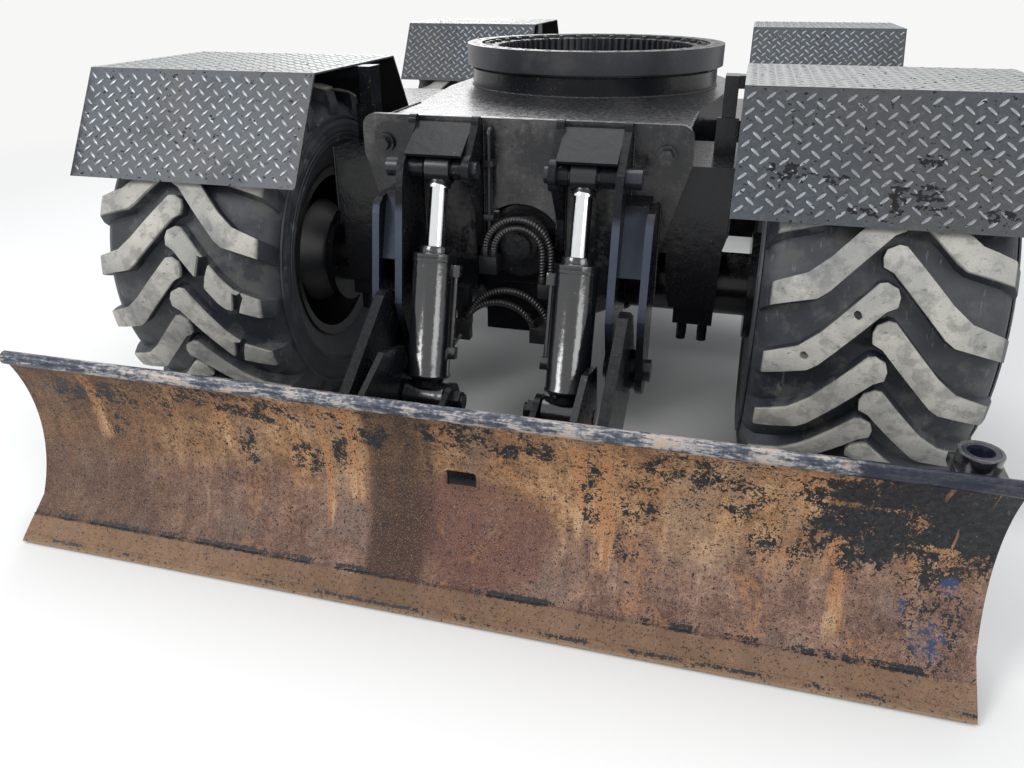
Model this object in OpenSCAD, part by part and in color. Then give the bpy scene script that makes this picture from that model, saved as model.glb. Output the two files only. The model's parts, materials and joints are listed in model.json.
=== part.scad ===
// Wheeled excavator undercarriage with a dozer blade
// +X is to the right seen from the blade end, -Y points to the blade, +Z is up, sizes in mm

/* [Layout] */
// Distance between the two axles
wheelbase = 2750; // [2600:10:3000]
// Slewing axis behind the rigid axle
slew_offset = 950; // [900:10:1050]
// Cutting edge of the blade in front of the rigid axle
blade_reach = 1140; // [1120:5:1200]
// End of the tow jaw behind the steering axle
tail_reach = 720; // [700:5:800]

/* [Wheels] */
// Overall diameter of a tyre over its lugs
tyre_d = 1170; // [1150:2:1190]
// Width of a tyre
tyre_w = 630; // [600:5:640]
// Distance between the wheel centres of one axle
track = 2050; // [2030:5:2080]
// Diameter of the rim's barrel
rim_d = 571; // [550:1:590]
// Distance between the rim's flanges
rim_w = 530; // [500:5:540]
// Radius of the hub drum inside the rim
hub_r = 185; // [170:1:200]
// Lugs on one side of a tyre
lugs = 19; // [17:1:20]
// Height of a lug over the casing
lug_h = 42; // [36:1:46]

/* [Blade] */
// Width of the blade
blade_w = 2550; // [2400:10:2700]
// Height of the blade over its top bar
blade_h = 564; // [540:2:600]
// Gap between the cutting edge and the ground at rest
blade_gap = 8; // [4:1:20]
// Radius of the curved face
mould_r = 443; // [420:1:480]
// Thickness of the curved plate
mould_t = 16; // [12:1:20]
// Length of the sloping cutting edge, measured down its face
edge_len = 146; // [130:1:150]
// Slope of the cutting edge from the ground
edge_angle = 38; // [34:1:42]
// Thickness of the cutting edge
edge_t = 20; // [16:1:24]
// Diameter of the bar along the top
bar_d = 38; // [32:1:44]
// Width of the slot in the blade
slot_w = 80; // [60:1:100]
// Height of the slot in the blade
slot_h = 46; // [36:1:60]

/* [Blade linkage] */
// Blade pivot in front of the end plate
pivot_out = 90; // [86:1:100]
// Height of the blade pivot
pivot_z = 400; // [390:1:420]
// Radius of the blade pivot pins
pivot_r = 35; // [30:1:40]
// Foot pin of a cylinder in front of the blade pivot
foot_out = 218; // [210:1:226]
// Height of the foot pins
foot_z = 330; // [320:1:340]
// Top pin of a cylinder in front of the end plate
head_out = 107; // [100:1:110]
// Height of the top pins
head_z = 983; // [975:1:990]
// Radius of the cylinder pins
pin_r = 25; // [20:1:28]
// Sideways place of a cylinder
cyl_x = 215; // [205:1:225]
// Outer diameter of a barrel
barrel_d = 128; // [120:1:132]
// Diameter of a rod
rod_d = 54; // [46:1:60]
// Sideways place of the inner hanger plates
hanger_x = 320; // [316:1:330]
// Width of a push arm
arm_w = 30; // [26:1:34]
// Thickness of the hanger plates and cheeks
plate_t = 22; // [18:1:25]
// Thickness of the lugs at a foot pin
lug_t = 18; // [14:1:20]
// Width of the eye at a barrel's foot
foot_eye_w = 128; // [120:1:132]
// Width of the eye at a rod's head
head_eye_w = 74; // [66:1:78]

/* [Chassis] */
// Rigid axle behind the face of the end plate
end_gap = 250; // [245:1:270]
// Half width of the end plate
end_half_w = 500; // [480:2:510]
// Top of the end plate
end_top = 1115; // [1106:1:1124]
// Half width over the axle legs
leg_half_w = 620; // [600:2:625]
// Underside of the axle legs
leg_z = 570; // [560:1:580]
// Top of the axle legs
shoulder_z = 1000; // [980:5:1020]
// Top of the chassis box
deck_z = 1088; // [1078:1:1096]
// Underside of the chassis box
belly_z = 740; // [730:1:760]
// Half width of the beam over the steering axle
beam_half_w = 240; // [220:2:260]

/* [Tool boxes] */
// Outer face of a tool box
box_out = 1200; // [1180:5:1210]
// Top of a tool box
box_top = 1000; // [960:5:1010]
// Underside of a tool box
box_low = 560; // [550:5:600]
// Length of a tool box
box_len = 630; // [580:10:640]
// Width of the step below a tool box
step_w = 110; // [90:5:120]
// Height of the step over the ground
step_z = 340; // [330:5:360]

/* [Slewing ring] */
// Radius of the pedestal under the races
pedestal_r = 500; // [490:1:506]
// Height of the pedestal over the deck
pedestal_h = 64; // [58:1:68]
// Outer radius of the turning race
race_r = 520; // [510:1:530]
// Radius of the running gap between the races
race_gap_r = 462; // [458:1:466]
// Inner radius of the fixed race at its tooth tips
race_bore_r = 395; // [390:1:400]
// Teeth inside the fixed race
race_teeth = 84; // [78:2:90]
// Height of a tooth
tooth_h = 18; // [15:0.5:20]
// Height of the races
race_h = 80; // [70:1:90]
// Pitch circle radius of the mounting holes
race_bolt_r = 491; // [489:1:493]
// Mounting holes in the turning race
race_bolts = 36; // [24:2:40]
// Radius of a mounting hole
race_hole_r = 11; // [9:0.5:12]

/* [Steering] */
// Sideways place of the kingpins
kingpin_x = 560; // [550:1:565]
// Radius of a kingpin
kingpin_r = 28; // [25:1:30]
// Radius of the fork ears round the kingpins
ear_r = 58; // [54:1:60]
// Length of a steering arm
steer_arm = 200; // [195:1:205]
// Radius of the axle trunnion
trunnion_r = 45; // [40:1:50]

/* [Mudguards] */
// Inner edge of a mudguard
guard_in = 618; // [610:1:626]
// Outer edge of a mudguard
guard_out = 1400; // [1300:5:1420]
// Thickness of the checker plate
guard_t = 5; // [4:0.5:8]
// Height of the arm that carries a mudguard
guard_arm_h = 36; // [30:1:40]

/* [Hidden] */
$fn = 64;

fit = 0.3;
running = 0.5;
pin_play = 0.05;
total_len = blade_reach + wheelbase + tail_reach;
blade_y = -total_len / 2;
rigid_y = blade_y + blade_reach;
steer_y = rigid_y + wheelbase;
slew_y = rigid_y + slew_offset;
tail_y = total_len / 2;
axle_z = tyre_d / 2;
end_y = rigid_y - end_gap;
wall = 25;

pivot_y = end_y - pivot_out;
foot_y = pivot_y - foot_out;
head_y = end_y - head_out;
cyl_len = norm([head_y - foot_y, head_z - foot_z]);
cyl_tilt = atan2(head_y - foot_y, head_z - foot_z);
eye_drift = 6;
wheel_in = track / 2 - tyre_w / 2;
hub_face_x = wheel_in + 10;

// curved face of the blade: arc from the top bar to the cutting edge
edge_top_y = blade_y + edge_len * cos(edge_angle);
edge_top_z = blade_gap + edge_len * sin(edge_angle);
mould_top_z = blade_h - bar_d / 2;
mould_mid_z = (edge_top_z + mould_top_z) / 2;
mould_chord = mould_top_z - edge_top_z;
mould_cy = edge_top_y - sqrt(pow(mould_r, 2) - pow(mould_chord / 2, 2));
mould_back_y = mould_cy + mould_r;
back_y = mould_back_y + 70;

ring_z = deck_z + pedestal_h;
race_clear = 13;

// sheets cut in the plane across X: a 2D drawing in (Y, Z) from x0 to x1
module across(x0, x1) {
    translate([x0, 0, 0]) rotate([90, 0, 90]) linear_extrude(x1 - x0) children();
}

// a 2D drawing in (X, Z) from y0 to y1
module along(y0, y1) {
    translate([0, y1, 0]) rotate([90, 0, 0]) linear_extrude(y1 - y0) children();
}

// round bar along X through a point in (Y, Z)
module bar_x(x0, x1, y, z, r) {
    translate([x0, y, z]) rotate([0, 90, 0]) cylinder(h = x1 - x0, r = r);
}

module bar_y(y0, y1, x, z, r) {
    translate([x, y0, z]) rotate([-90, 0, 0]) cylinder(h = y1 - y0, r = r);
}

module pair() {
    children();
    mirror([1, 0, 0]) children();
}

module one_side(side) {
    scale_x = side < 0 ? 1 : 0;
    mirror([scale_x, 0, 0]) children();
}

module box(x0, x1, y0, y1, z0, z1) {
    translate([x0, y0, z0]) cube([x1 - x0, y1 - y0, z1 - z0]);
}

// chassis

leg_front = end_y + wall;
leg_back = rigid_y + 190;
beam_r = 100;
saddle_r = 112;
clamp_h = 58;
clamp_bolt = 60;
cradle_r = 130;
pinion_r = 85;

module chassis_frame() color("#1d1e20") {
    difference() {
        union() {
            // front box behind the end plate, with a leg over each end of the rigid axle
            box(-leg_half_w, leg_half_w, leg_front, leg_back, belly_z + 60, shoulder_z);
            box(-end_half_w + 20, end_half_w - 20, leg_front, leg_back + 50, belly_z, deck_z);
            pair() along(leg_front, leg_back) polygon([
                [leg_half_w - 180, belly_z + 70], [leg_half_w - 170, leg_z + 50], [leg_half_w - 154, leg_z],
                [leg_half_w - 18, leg_z], [leg_half_w - 13, belly_z + 18], [leg_half_w, belly_z + 70]
            ]);
            // main box and ring pedestal
            main_box();
            translate([0, slew_y, deck_z - 10]) cylinder(h = pedestal_h + 10, r = pedestal_r, $fn = 128);
            // cradles of the steering axle
            for (y = [steer_y - 290, steer_y + 230]) {
                along(y, y + 40) {
                    polygon([[-200, belly_z + 20], [-110, 500], [110, 500], [200, belly_z + 20]]);
                    translate([0, axle_z]) circle(r = cradle_r);
                }
            }
        }
        // well under the slewing ring
        translate([0, slew_y, belly_z + wall]) cylinder(h = 500, r = race_bore_r - 30);
        // room for the travel gearbox
        box(-200, 200, leg_front - 1, leg_back - 60, belly_z - 1, 930);
        // room over the steering axle
        box(-300, 300, steer_y - 230, steer_y + 210, belly_z - 1, 790);
        // saddles over the rigid axle
        bar_x(-leg_half_w - 1, leg_half_w + 1, rigid_y, axle_z, saddle_r);
        box(-leg_half_w - 1, leg_half_w + 1, rigid_y - saddle_r, rigid_y + saddle_r, leg_z - 1, axle_z);
        // trunnion bores
        bar_y(steer_y - 300, steer_y - 240, 0, axle_z, pinion_r + pin_play);
        bar_y(steer_y + 220, steer_y + 280, 0, axle_z, trunnion_r + pin_play);
    }
}

// wide under the slewing ring, narrow over the steering axle
module main_box() {
    y_wide = slew_y + 420;
    y_narrow = steer_y - 640;
    y_end = tail_y - jaw_len - wall;
    translate([0, 0, belly_z]) linear_extrude(deck_z - belly_z) polygon([
        [-480, leg_back], [480, leg_back], [540, slew_y - 250], [540, slew_y + 250], [480, y_wide],
        [beam_half_w, y_narrow], [beam_half_w, y_end], [-beam_half_w, y_end],
        [-beam_half_w, y_narrow], [-480, y_wide], [-540, slew_y + 250], [-540, slew_y - 250]
    ]);
}

arch_z = 726;
arch_r = 141;
corner_r = 40;
corner_pin_x = end_half_w - 72;
corner_pin_z = end_top - 85;

module end_plate() color("#2a2a2b") {
    along(end_y, end_y + wall) difference() {
        union() {
            polygon([
                [-end_half_w, end_top - corner_r], [-end_half_w, shoulder_z], [90 - end_half_w, 700],
                [100 - end_half_w, leg_z + 10], [end_half_w - 100, leg_z + 10], [end_half_w - 90, 700],
                [end_half_w, shoulder_z], [end_half_w, end_top - corner_r]
            ]);
            translate([corner_r - end_half_w, end_top - corner_r - 1])
                square([2 * (end_half_w - corner_r), corner_r + 1]);
            for (side = [-1, 1]) translate([side * (end_half_w - corner_r), end_top - corner_r])
                circle(r = corner_r);
        }
        translate([0, arch_z]) circle(r = arch_r);
        translate([-arch_r, 500]) square([2 * arch_r, arch_z - 500]);
    }
    for (side = [-1, 1]) {
        bar_y(end_y - 12, end_y, side * corner_pin_x, corner_pin_z, 30);
        bar_y(end_y - 32, end_y - 12, side * corner_pin_x, corner_pin_z, 21, $fn = 6);
    }
}

// brackets of the blade: hanger plates, cheeks of the cylinder heads and their covers

arm_gap = 18;
arm_x = hanger_x + plate_t / 2 + arm_gap;
hanger_in = hanger_x - plate_t / 2;
hanger_out = arm_x + arm_w + arm_gap;
eye_gap = 8;
cheek_x = cyl_x - head_eye_w / 2 - eye_gap - 32 - plate_t;
cheek_low = 730;
hood_z = 900;
knob_y = end_y - 28;
knob_z = end_top - 10;
knob_r = 18;
hanger_r = 75;
cheek_r = 46;
boss_r = 30;

module blade_bracket(side) color("#202123") one_side(side) difference() {
    union() {
        across(hanger_in, hanger_in + plate_t) {
            polygon([
                [end_y, knob_z], [end_y - 45, knob_z - 5], [head_y - 50, head_z + 17],
                [head_y - 71, head_z - 43], [pivot_y - 145, pivot_z + 200], [pivot_y - hanger_r, pivot_z],
                [pivot_y + hanger_r, pivot_z], [end_y, leg_z - 10]
            ]);
            translate([knob_y, knob_z]) circle(r = knob_r);
            translate([pivot_y, pivot_z]) circle(r = hanger_r);
        }
        across(hanger_out, hanger_out + plate_t) {
            polygon([
                [end_y, hood_z - 5], [end_y - 75, hood_z], [end_y - 120, hood_z - 7], [end_y - 148, hood_z - 24],
                [end_y - 157, hood_z - 50], [pivot_y - 115, pivot_z + 200], [pivot_y - hanger_r, pivot_z],
                [pivot_y + hanger_r, pivot_z], [end_y, leg_z - 10]
            ]);
            translate([pivot_y, pivot_z]) circle(r = hanger_r);
        }
        // web over the push arm
        across(hanger_in + plate_t, hanger_out) polygon([
            [end_y, hood_z + 15], [end_y - 88, hood_z + 5], [end_y - 155, hood_z - 188],
            [end_y - 147, hood_z - 191], [end_y - 82, hood_z - 4], [end_y, hood_z + 5]
        ]);
        // cheek on the inner side of the cylinder head
        across(cheek_x, cheek_x + plate_t) {
            polygon([
                [end_y, knob_z], [end_y - 45, knob_z - 5], [head_y - cheek_r, head_z + 8],
                [head_y - 40, head_z - 25], [head_y + 5, head_z - cheek_r], [end_y - 18, cheek_low + 100],
                [end_y - 12, cheek_low], [end_y, cheek_low]
            ]);
            translate([knob_y, knob_z]) circle(r = knob_r);
            translate([head_y, head_z]) circle(r = cheek_r);
        }
        // cover between the cheek and the hanger plate
        across(cheek_x + plate_t, hanger_in) polygon([
            [end_y, knob_z - 3], [end_y - 25, knob_z - 3], [head_y - 41, head_z + 47],
            [head_y - 36, head_z + 39], [end_y - 22, knob_z - 11], [end_y, knob_z - 11]
        ]);
        // spacers beside the rod's eye
        bar_x(cheek_x + plate_t, cyl_x - head_eye_w / 2 - eye_gap, head_y, head_z, boss_r);
        bar_x(cyl_x + head_eye_w / 2 + eye_gap, hanger_in, head_y, head_z, boss_r);
    }
    bar_x(0, 600, head_y, head_z, pin_r + pin_play);
    bar_x(0, 600, pivot_y, pivot_z, pivot_r + pin_play);
}

module blade_pins() color("#8a8d90") for (side = [-1, 1]) one_side(side) {
    bar_x(cheek_x - 16, hanger_in + plate_t + 1, head_y, head_z, pin_r);
    bar_x(hanger_in + plate_t + fit, hanger_in + plate_t + 45, head_y, head_z, pin_r + 3);
    bar_x(hanger_in - 15, hanger_out + plate_t + 18, pivot_y, pivot_z, pivot_r);
}

// slewing ring

tooth_step = 360 / race_teeth;
tooth_root_r = race_bore_r + tooth_h;

module slew_race_fixed() color("#34363a") translate([0, slew_y, ring_z]) linear_extrude(race_h) difference() {
    circle(r = race_gap_r, $fn = 128);
    polygon([for (i = [0 : race_teeth - 1], p = [[tooth_root_r, -0.35], [race_bore_r, -0.18],
        [race_bore_r, 0.18], [tooth_root_r, 0.35]]) let (a = (i + p[1]) * tooth_step) p[0] * [cos(a), sin(a)]]);
}

module slew_race_turning() color("#2b2c30") translate([0, slew_y, ring_z + race_clear]) {
    difference() {
        cylinder(h = race_h, r = race_r, $fn = 128);
        translate([0, 0, -1]) cylinder(h = race_h + 2, r = race_gap_r + running, $fn = 128);
        for (i = [0 : race_bolts - 1]) rotate([0, 0, i * 360 / race_bolts])
            translate([race_bolt_r, 0, -1]) cylinder(h = race_h + 2, r = race_hole_r, $fn = 24);
    }
}

// rotary joint with its hose ports in front and behind
module swivel_joint() color("#303236") translate([0, slew_y, belly_z + wall]) {
    cylinder(h = 20, r = 160);
    cylinder(h = 290, r = 90);
    for (z = [60, 150, 240]) translate([0, 0, z]) cylinder(h = 14, r = 97);
    translate([0, 0, 290]) cylinder(h = 70, r = 70);
    for (z = [105, 195], a = [-110, -90, -70, 70, 90, 110])
        translate([0, 0, z]) rotate([0, 90, a]) cylinder(h = 112, r = 12);
}

// axles

bowl_r = 165;
bowl_half = 150;
axle_ring = 300;
pinion_reach = 210;
trunnion_reach = 299;
spindle_r = 65;
hub_flange_r = 170;
hub_flange_t = 25;

module bowl(grow) {
    rotate([0, 90, 0]) rotate_extrude() polygon([
        [0, -axle_ring], [beam_r + grow, -axle_ring], [bowl_r + grow, -bowl_half], [bowl_r + grow, bowl_half],
        [beam_r + grow, axle_ring], [0, axle_ring]
    ]);
}

module axle_beam(y, reach) {
    bar_x(-reach, reach, y, axle_z, beam_r);
    translate([0, y, axle_z]) bowl(0);
    pair() bar_x(axle_ring - 12, axle_ring + 12, y, axle_z, beam_r + 11);
}

module rigid_axle() color("#242527") {
    axle_beam(rigid_y, hub_face_x - 5);
    bar_y(rigid_y, rigid_y + pinion_reach, 0, axle_z, 70);
    pair() {
        bar_x(hub_face_x - hub_flange_t, hub_face_x, rigid_y, axle_z, hub_flange_r);
        // clamps under the legs with their bolts
        box(leg_half_w - 140, leg_half_w - 20, leg_front + 20, leg_back - 10, leg_z - clamp_h, leg_z);
        for (x = [leg_half_w - 112, leg_half_w - 48], y = [leg_front + 50, leg_front + 90, leg_back - 80, leg_back - 40])
            translate([x, y, leg_z - clamp_h - clamp_bolt]) cylinder(h = clamp_bolt + 1, r = 15);
    }
}

cap_z = arch_z + 16;

module travel_gearbox() color("#1b1c1e") difference() {
    union() {
        along(leg_front + 10, rigid_y - beam_r - 2) {
            translate([0, arch_z]) circle(r = arch_r - 11);
            translate([11 - arch_r, 600]) square([2 * (arch_r - 11), arch_z - 600]);
        }
        along(end_y + 30, rigid_y - bowl_r - 1) translate([-120, 440]) square([240, 165]);
        // flange, ring and cap of the bearing
        bar_y(end_y - 10, leg_front + 11, 0, cap_z, 100);
        bar_y(end_y - 24, end_y - 9, 0, cap_z, 58);
        bar_y(end_y - 40, end_y - 23, 0, cap_z, 40);
    }
    translate([0, rigid_y, axle_z]) bowl(fit);
}

shaft_r = 42;

module drive_shaft() color("#2f3134") {
    y0 = rigid_y + pinion_reach + fit;
    y1 = steer_y - trunnion_reach - fit;
    for (end = [[y0, 1], [y1, -1]]) translate([0, end[0], axle_z]) rotate([-90 * end[1], 0, 0]) {
        cylinder(h = 18, r = 62);
        // fork, cross and fork of the joint
        for (x = [-48, 30]) translate([x, -24, 17]) cube([18, 48, 56]);
        translate([-56, 0, 52]) rotate([0, 90, 0]) cylinder(h = 112, r = 15);
        rotate([0, 0, 90]) translate([-56, 0, 52]) rotate([0, 90, 0]) cylinder(h = 112, r = 15);
        for (y = [-48, 30]) translate([-24, y, 34]) cube([48, 18, 56]);
        translate([0, 0, 88]) cylinder(h = 20, r = 60);
    }
    bar_y(y0 + 105, y1 - 105, 0, axle_z, shaft_r);
}

// steering axle

fork_x = 430;

module steering_axle() color("#242527") {
    difference() {
        union() {
            axle_beam(steer_y, fork_x + 50);
            // trunnions, the front one round the pinion
            bar_y(steer_y - trunnion_reach, steer_y, 0, axle_z, pinion_r);
            bar_y(steer_y, steer_y + 275, 0, axle_z, trunnion_r);
            // forks round the kingpins
            pair() for (z = [axle_z - 150, axle_z + 115]) {
                translate([kingpin_x, steer_y, z]) cylinder(h = 35, r = ear_r);
                box(fork_x, kingpin_x, steer_y - ear_r, steer_y + ear_r, z, z + 35);
            }
            pair() box(fork_x, fork_x + 52, steer_y - ear_r, steer_y + ear_r, axle_z - 150, axle_z + 150);
        }
        pair() translate([kingpin_x, steer_y, axle_z - 160]) cylinder(h = 320, r = kingpin_r + pin_play);
    }
}

module knuckle(side) color("#2a2b2e") one_side(side) {
    translate([kingpin_x, steer_y, axle_z]) {
        translate([0, 0, -114]) cylinder(h = 228, r = 70);
        translate([0, 0, -158]) cylinder(h = 316, r = kingpin_r);
        rotate([0, 90, 0]) cylinder(h = hub_face_x - kingpin_x - 1, r = spindle_r);
        translate([hub_face_x - hub_flange_t - kingpin_x, 0, 0]) rotate([0, 90, 0])
            cylinder(h = hub_flange_t, r = hub_flange_r);
        // steering arm with its ball pin
        translate([-22, 0, -109]) cube([44, steer_arm, 22]);
        translate([0, steer_arm, -109]) cylinder(h = 22, r = 30);
        translate([0, steer_arm, -109]) cylinder(h = 51, r = 14);
    }
}

module tie_rod() color("#8f9296") {
    z = axle_z - 87 + fit;
    difference() {
        union() {
            for (side = [-1, 1]) translate([side * kingpin_x, steer_y + steer_arm, z]) cylinder(h = 24, r = 28);
            bar_x(-kingpin_x + 22, kingpin_x - 22, steer_y + steer_arm, z + 12, 10);
        }
        for (side = [-1, 1]) translate([side * kingpin_x, steer_y + steer_arm, z - 1])
            cylinder(h = 60, r = 14 + running);
    }
}

// mudguards: sloping front, flat top and sloping back round a wheel

guard_low = 343;
guard_high = 646;
guard_top_half = 299;
guard_foot = 492;
guard_under = axle_z + guard_high - guard_t;
strut_t = 12;
strut_x = (kingpin_x + ear_r + wheel_in - strut_t) / 2;

module guard_sheet(y) {
    translate([y, axle_z]) polygon([
        [-guard_foot, guard_low], [-guard_foot - guard_t, guard_low], [-guard_top_half - guard_t, guard_high],
        [guard_top_half + guard_t, guard_high], [guard_foot + guard_t, guard_low], [guard_foot, guard_low],
        [guard_top_half, guard_high - guard_t], [-guard_top_half, guard_high - guard_t]
    ]);
}

module guard_arm(x, y) {
    box(x, guard_out - 60, y - 30, y + 30, guard_under - guard_arm_h, guard_under);
}

module fixed_mudguard(side) color("#9a9ea3") one_side(side) {
    across(guard_in, guard_out) guard_sheet(rigid_y);
}

// a steered mudguard stands on a strut round the knuckle's spindle
module steered_mudguard(side) color("#9a9ea3") one_side(side) {
    across(guard_in, guard_out) guard_sheet(steer_y);
    guard_arm(strut_x, steer_y);
    across(strut_x, strut_x + strut_t) difference() {
        translate([steer_y, axle_z]) {
            polygon([[-80, 0], [-50, guard_high - guard_t], [50, guard_high - guard_t], [80, 0]]);
            circle(r = spindle_r + 32);
        }
        translate([steer_y, axle_z]) circle(r = spindle_r + fit);
    }
}

module mudguard_mounts() color("#1d1e20") pair() {
    box(leg_half_w - 60, leg_half_w - 20, rigid_y - 40, rigid_y + 40, shoulder_z, guard_under);
    box(leg_half_w - 72, leg_half_w - 8, rigid_y - 50, rigid_y - 40, shoulder_z, shoulder_z + 110);
    guard_arm(leg_half_w - 60, rigid_y);
}

module tool_box(side) color("#1f2022") one_side(side) {
    y0 = slew_y - box_len / 2 + 15;
    y1 = y0 + box_len;
    chamfer = 50;
    along(y0, y1) polygon([
        [540, box_low], [box_out, box_low], [box_out, box_top - chamfer], [box_out - chamfer, box_top], [540, box_top]
    ]);
    // door with its two hinges
    box(box_out - 1, box_out + 5, y0 + 30, y1 - 30, box_low + 40, box_top - chamfer - 20);
    for (y = [y0 + 90, y1 - 90]) bar_y(y - 35, y + 35, box_out + 5, box_low + 40, 8);
    for (y = [y0 + 60, y1 - 80]) box(box_out - 50, box_out - 30, y, y + 20, step_z, box_low);
    box(box_out - 70, box_out - 70 + step_w, y0 + 60, y1 - 60, step_z - 20, step_z);
}

jaw_len = 120;
jaw_pin_y = tail_y - 55;
jaw_pin_r = 20;
jaw_z = 700;

module tail_plate() color("#222325") {
    y0 = tail_y - jaw_len - wall;
    along(y0, y0 + wall) translate([-beam_half_w - 40, 620]) square([2 * beam_half_w + 80, deck_z - 628]);
    difference() {
        for (z = [jaw_z, jaw_z + 100]) {
            box(-80, 80, y0 + wall, jaw_pin_y, z, z + 30);
            box(-40, 40, jaw_pin_y, tail_y, z, z + 30);
            for (x = [-40, 40]) translate([x, jaw_pin_y, z]) cylinder(h = 30, r = 40);
        }
        translate([0, jaw_pin_y, jaw_z - 100]) cylinder(h = 300, r = jaw_pin_r + 1);
    }
}

module tow_pin() color("#8f9296") {
    translate([0, jaw_pin_y, jaw_z - 20]) cylinder(h = 160, r = jaw_pin_r);
    translate([0, jaw_pin_y, jaw_z + 130 + fit]) cylinder(h = 25, r = 32);
}

// hoses and pipes in front of the end plate

hose_r = 11;
pipe_r = 8;

// part of a ring in a plane across Y: centre, radius and angles from +X up
module arc_y(x, z, radius, a0, a1, y, r) {
    translate([x, y, z]) rotate([90, 0, 0]) rotate([0, 0, a0]) rotate_extrude(angle = a1 - a0)
        translate([radius, 0]) circle(r = r);
}

module blade_hoses() color("#101112") {
    // two hoses over the bearing cap, from a block on its flange to a block under it
    top_y = end_y - 50;
    for (radius = [78, 105]) {
        arc_y(5, arch_z, radius, 0, 180, top_y, hose_r);
        translate([5 - radius, top_y, arch_z - 25]) cylinder(h = 25, r = hose_r);
        translate([5 + radius, top_y, arch_z - 100]) cylinder(h = 100, r = hose_r);
    }
    box(-118, -60, top_y - 14, end_y - 10 - fit, arch_z - 70, arch_z - 14);
    box(70, 120, top_y - 14, end_y + 30 - fit, arch_z - 136, arch_z - 90);
    // steel pipe from the flange block up to the plate
    translate([-90, end_y - 30, arch_z - 20]) cylinder(h = end_top - 30 - arch_z + 20, r = pipe_r);
    translate([-90, end_y - 30, end_top - 30]) sphere(r = pipe_r);
    bar_y(end_y - 30, end_y - fit, -90, end_top - 30, pipe_r);
    // two hoses under the cap, from a bracket under the plate to the front of the gearbox
    low_y = end_y - 60;
    arc_y(-25.4, 468.5, 137.5, 8, 173, low_y, hose_r);
    arc_y(-54.4, 438.5, 127.3, 16, 168, low_y, hose_r);
    box(-205, -150, low_y - 14, low_y + 20, 430, 492);
    box(-200, -160, low_y + 19, end_y - fit, 470, 600);
    box(48, 128, low_y - 14, end_y + 30 - fit, 442, 495);
}

// wheels

module on_wheel(side, y) {
    one_side(side) translate([track / 2, y, axle_z]) rotate([0, 90, 0]) children();
}

rim_r = rim_d / 2;
rim_t = 12;
disc_a = 40;
hub_end = 130;
hub_a = hub_face_x + fit - track / 2;

module rim(side, y) color("#17181a") on_wheel(side, y) {
    rotate_extrude($fn = 96) polygon([
        [rim_r - rim_t, -rim_w / 2], [rim_r + 20, -rim_w / 2 - 8], [rim_r + 20, -rim_w / 2], [rim_r, -rim_w / 2 + 8],
        [rim_r, rim_w / 2 - 8], [rim_r + 20, rim_w / 2], [rim_r + 20, rim_w / 2 + 8], [rim_r - rim_t, rim_w / 2],
        [rim_r - rim_t, disc_a + 18], [150, disc_a + 18], [140, hub_end], [60, hub_end + 15], [0, hub_end + 15],
        [0, hub_a], [120, hub_a], [hub_r, hub_a + 95], [hub_r, disc_a], [rim_r - rim_t, disc_a]
    ]);
}

// a lug from its nose past the tread's middle to the shoulder, then the opposite lug half a pitch on
lug_pitch = 360 / lugs;
lug_nose = 31.4;
lug_middle = 135;
casing_r = tyre_d / 2 - lug_h;
shoulder_a = tyre_w / 2;

module lug() {
    translate([casing_r - 75, 0, 0]) rotate([0, 90, 0]) linear_extrude(lug_h + 95) translate([0, -lug_middle]) polygon([
        [-26, 3], [-8, 0], [18, 13], [25, 33], [22, 58], [-3, 71], [-143, 225], [-168, 243],
        [12 - shoulder_a, 271], [12 - shoulder_a, 215], [-198, 180], [-148, 138]
    ]);
}

module tyre(side, y) color("#1b1b1b") on_wheel(side, y) {
    r = tyre_d / 2;
    w = tyre_w / 2;
    rotate_extrude($fn = 96) polygon([
        [rim_r + fit, -rim_w / 2 + 9], [rim_r + 20, -rim_w / 2 + 1], [400, -w + 3], [450, -w],
        [casing_r - 38, -w + 25], [casing_r - 18, -w + 53], [casing_r, -115], [casing_r, 115],
        [casing_r - 18, w - 53], [casing_r - 38, w - 25], [450, w], [400, w - 3],
        [rim_r + 20, rim_w / 2 - 1], [rim_r + fit, rim_w / 2 - 9]
    ]);
    intersection() {
        rotate([0, 0, lug_middle / r * 180 / PI - 90 - lug_nose]) for (i = [0 : lugs - 1]) rotate([0, 0, i * lug_pitch]) {
            lug();
            rotate([0, 0, lug_pitch / 2]) mirror([0, 0, 1]) lug();
        }
        rotate_extrude($fn = 96) polygon([
            [casing_r - 43, -w + 36], [casing_r - 65, -w + 24], [casing_r - 65, -w + 6], [r - 65, -w + 15], [r - 30, -w + 32],
            [r - 17, -w + 40], [r - 8, -w + 85], [r - 2, -w + 165], [r, 0], [r - 2, w - 165], [r - 8, w - 85],
            [r - 17, w - 40], [r - 30, w - 32], [r - 65, w - 15], [casing_r - 65, w - 6], [casing_r - 65, w - 24],
            [casing_r - 43, w - 36]
        ]);
    }
}

// blade

module mould_profile() {
    intersection() {
        translate([mould_cy, mould_mid_z]) difference() {
            circle(r = mould_r + mould_t, $fn = 128);
            circle(r = mould_r, $fn = 128);
        }
        translate([mould_cy, edge_top_z + fit]) square([mould_r + 100, mould_chord - fit]);
    }
}

// a back member drawn in (Y, Z), trimmed to the middle of the curved plate
module back_member(x0, x1) {
    across(x0, x1) difference() {
        children();
        translate([mould_cy, mould_mid_z]) circle(r = mould_r + mould_t / 2, $fn = 128);
    }
}

// the only lashing cup stands at the right end
lash_x = blade_w / 2 - 85;
lash_y = edge_top_y + 75;
slot_x = 30;
slot_z = 330;

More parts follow.
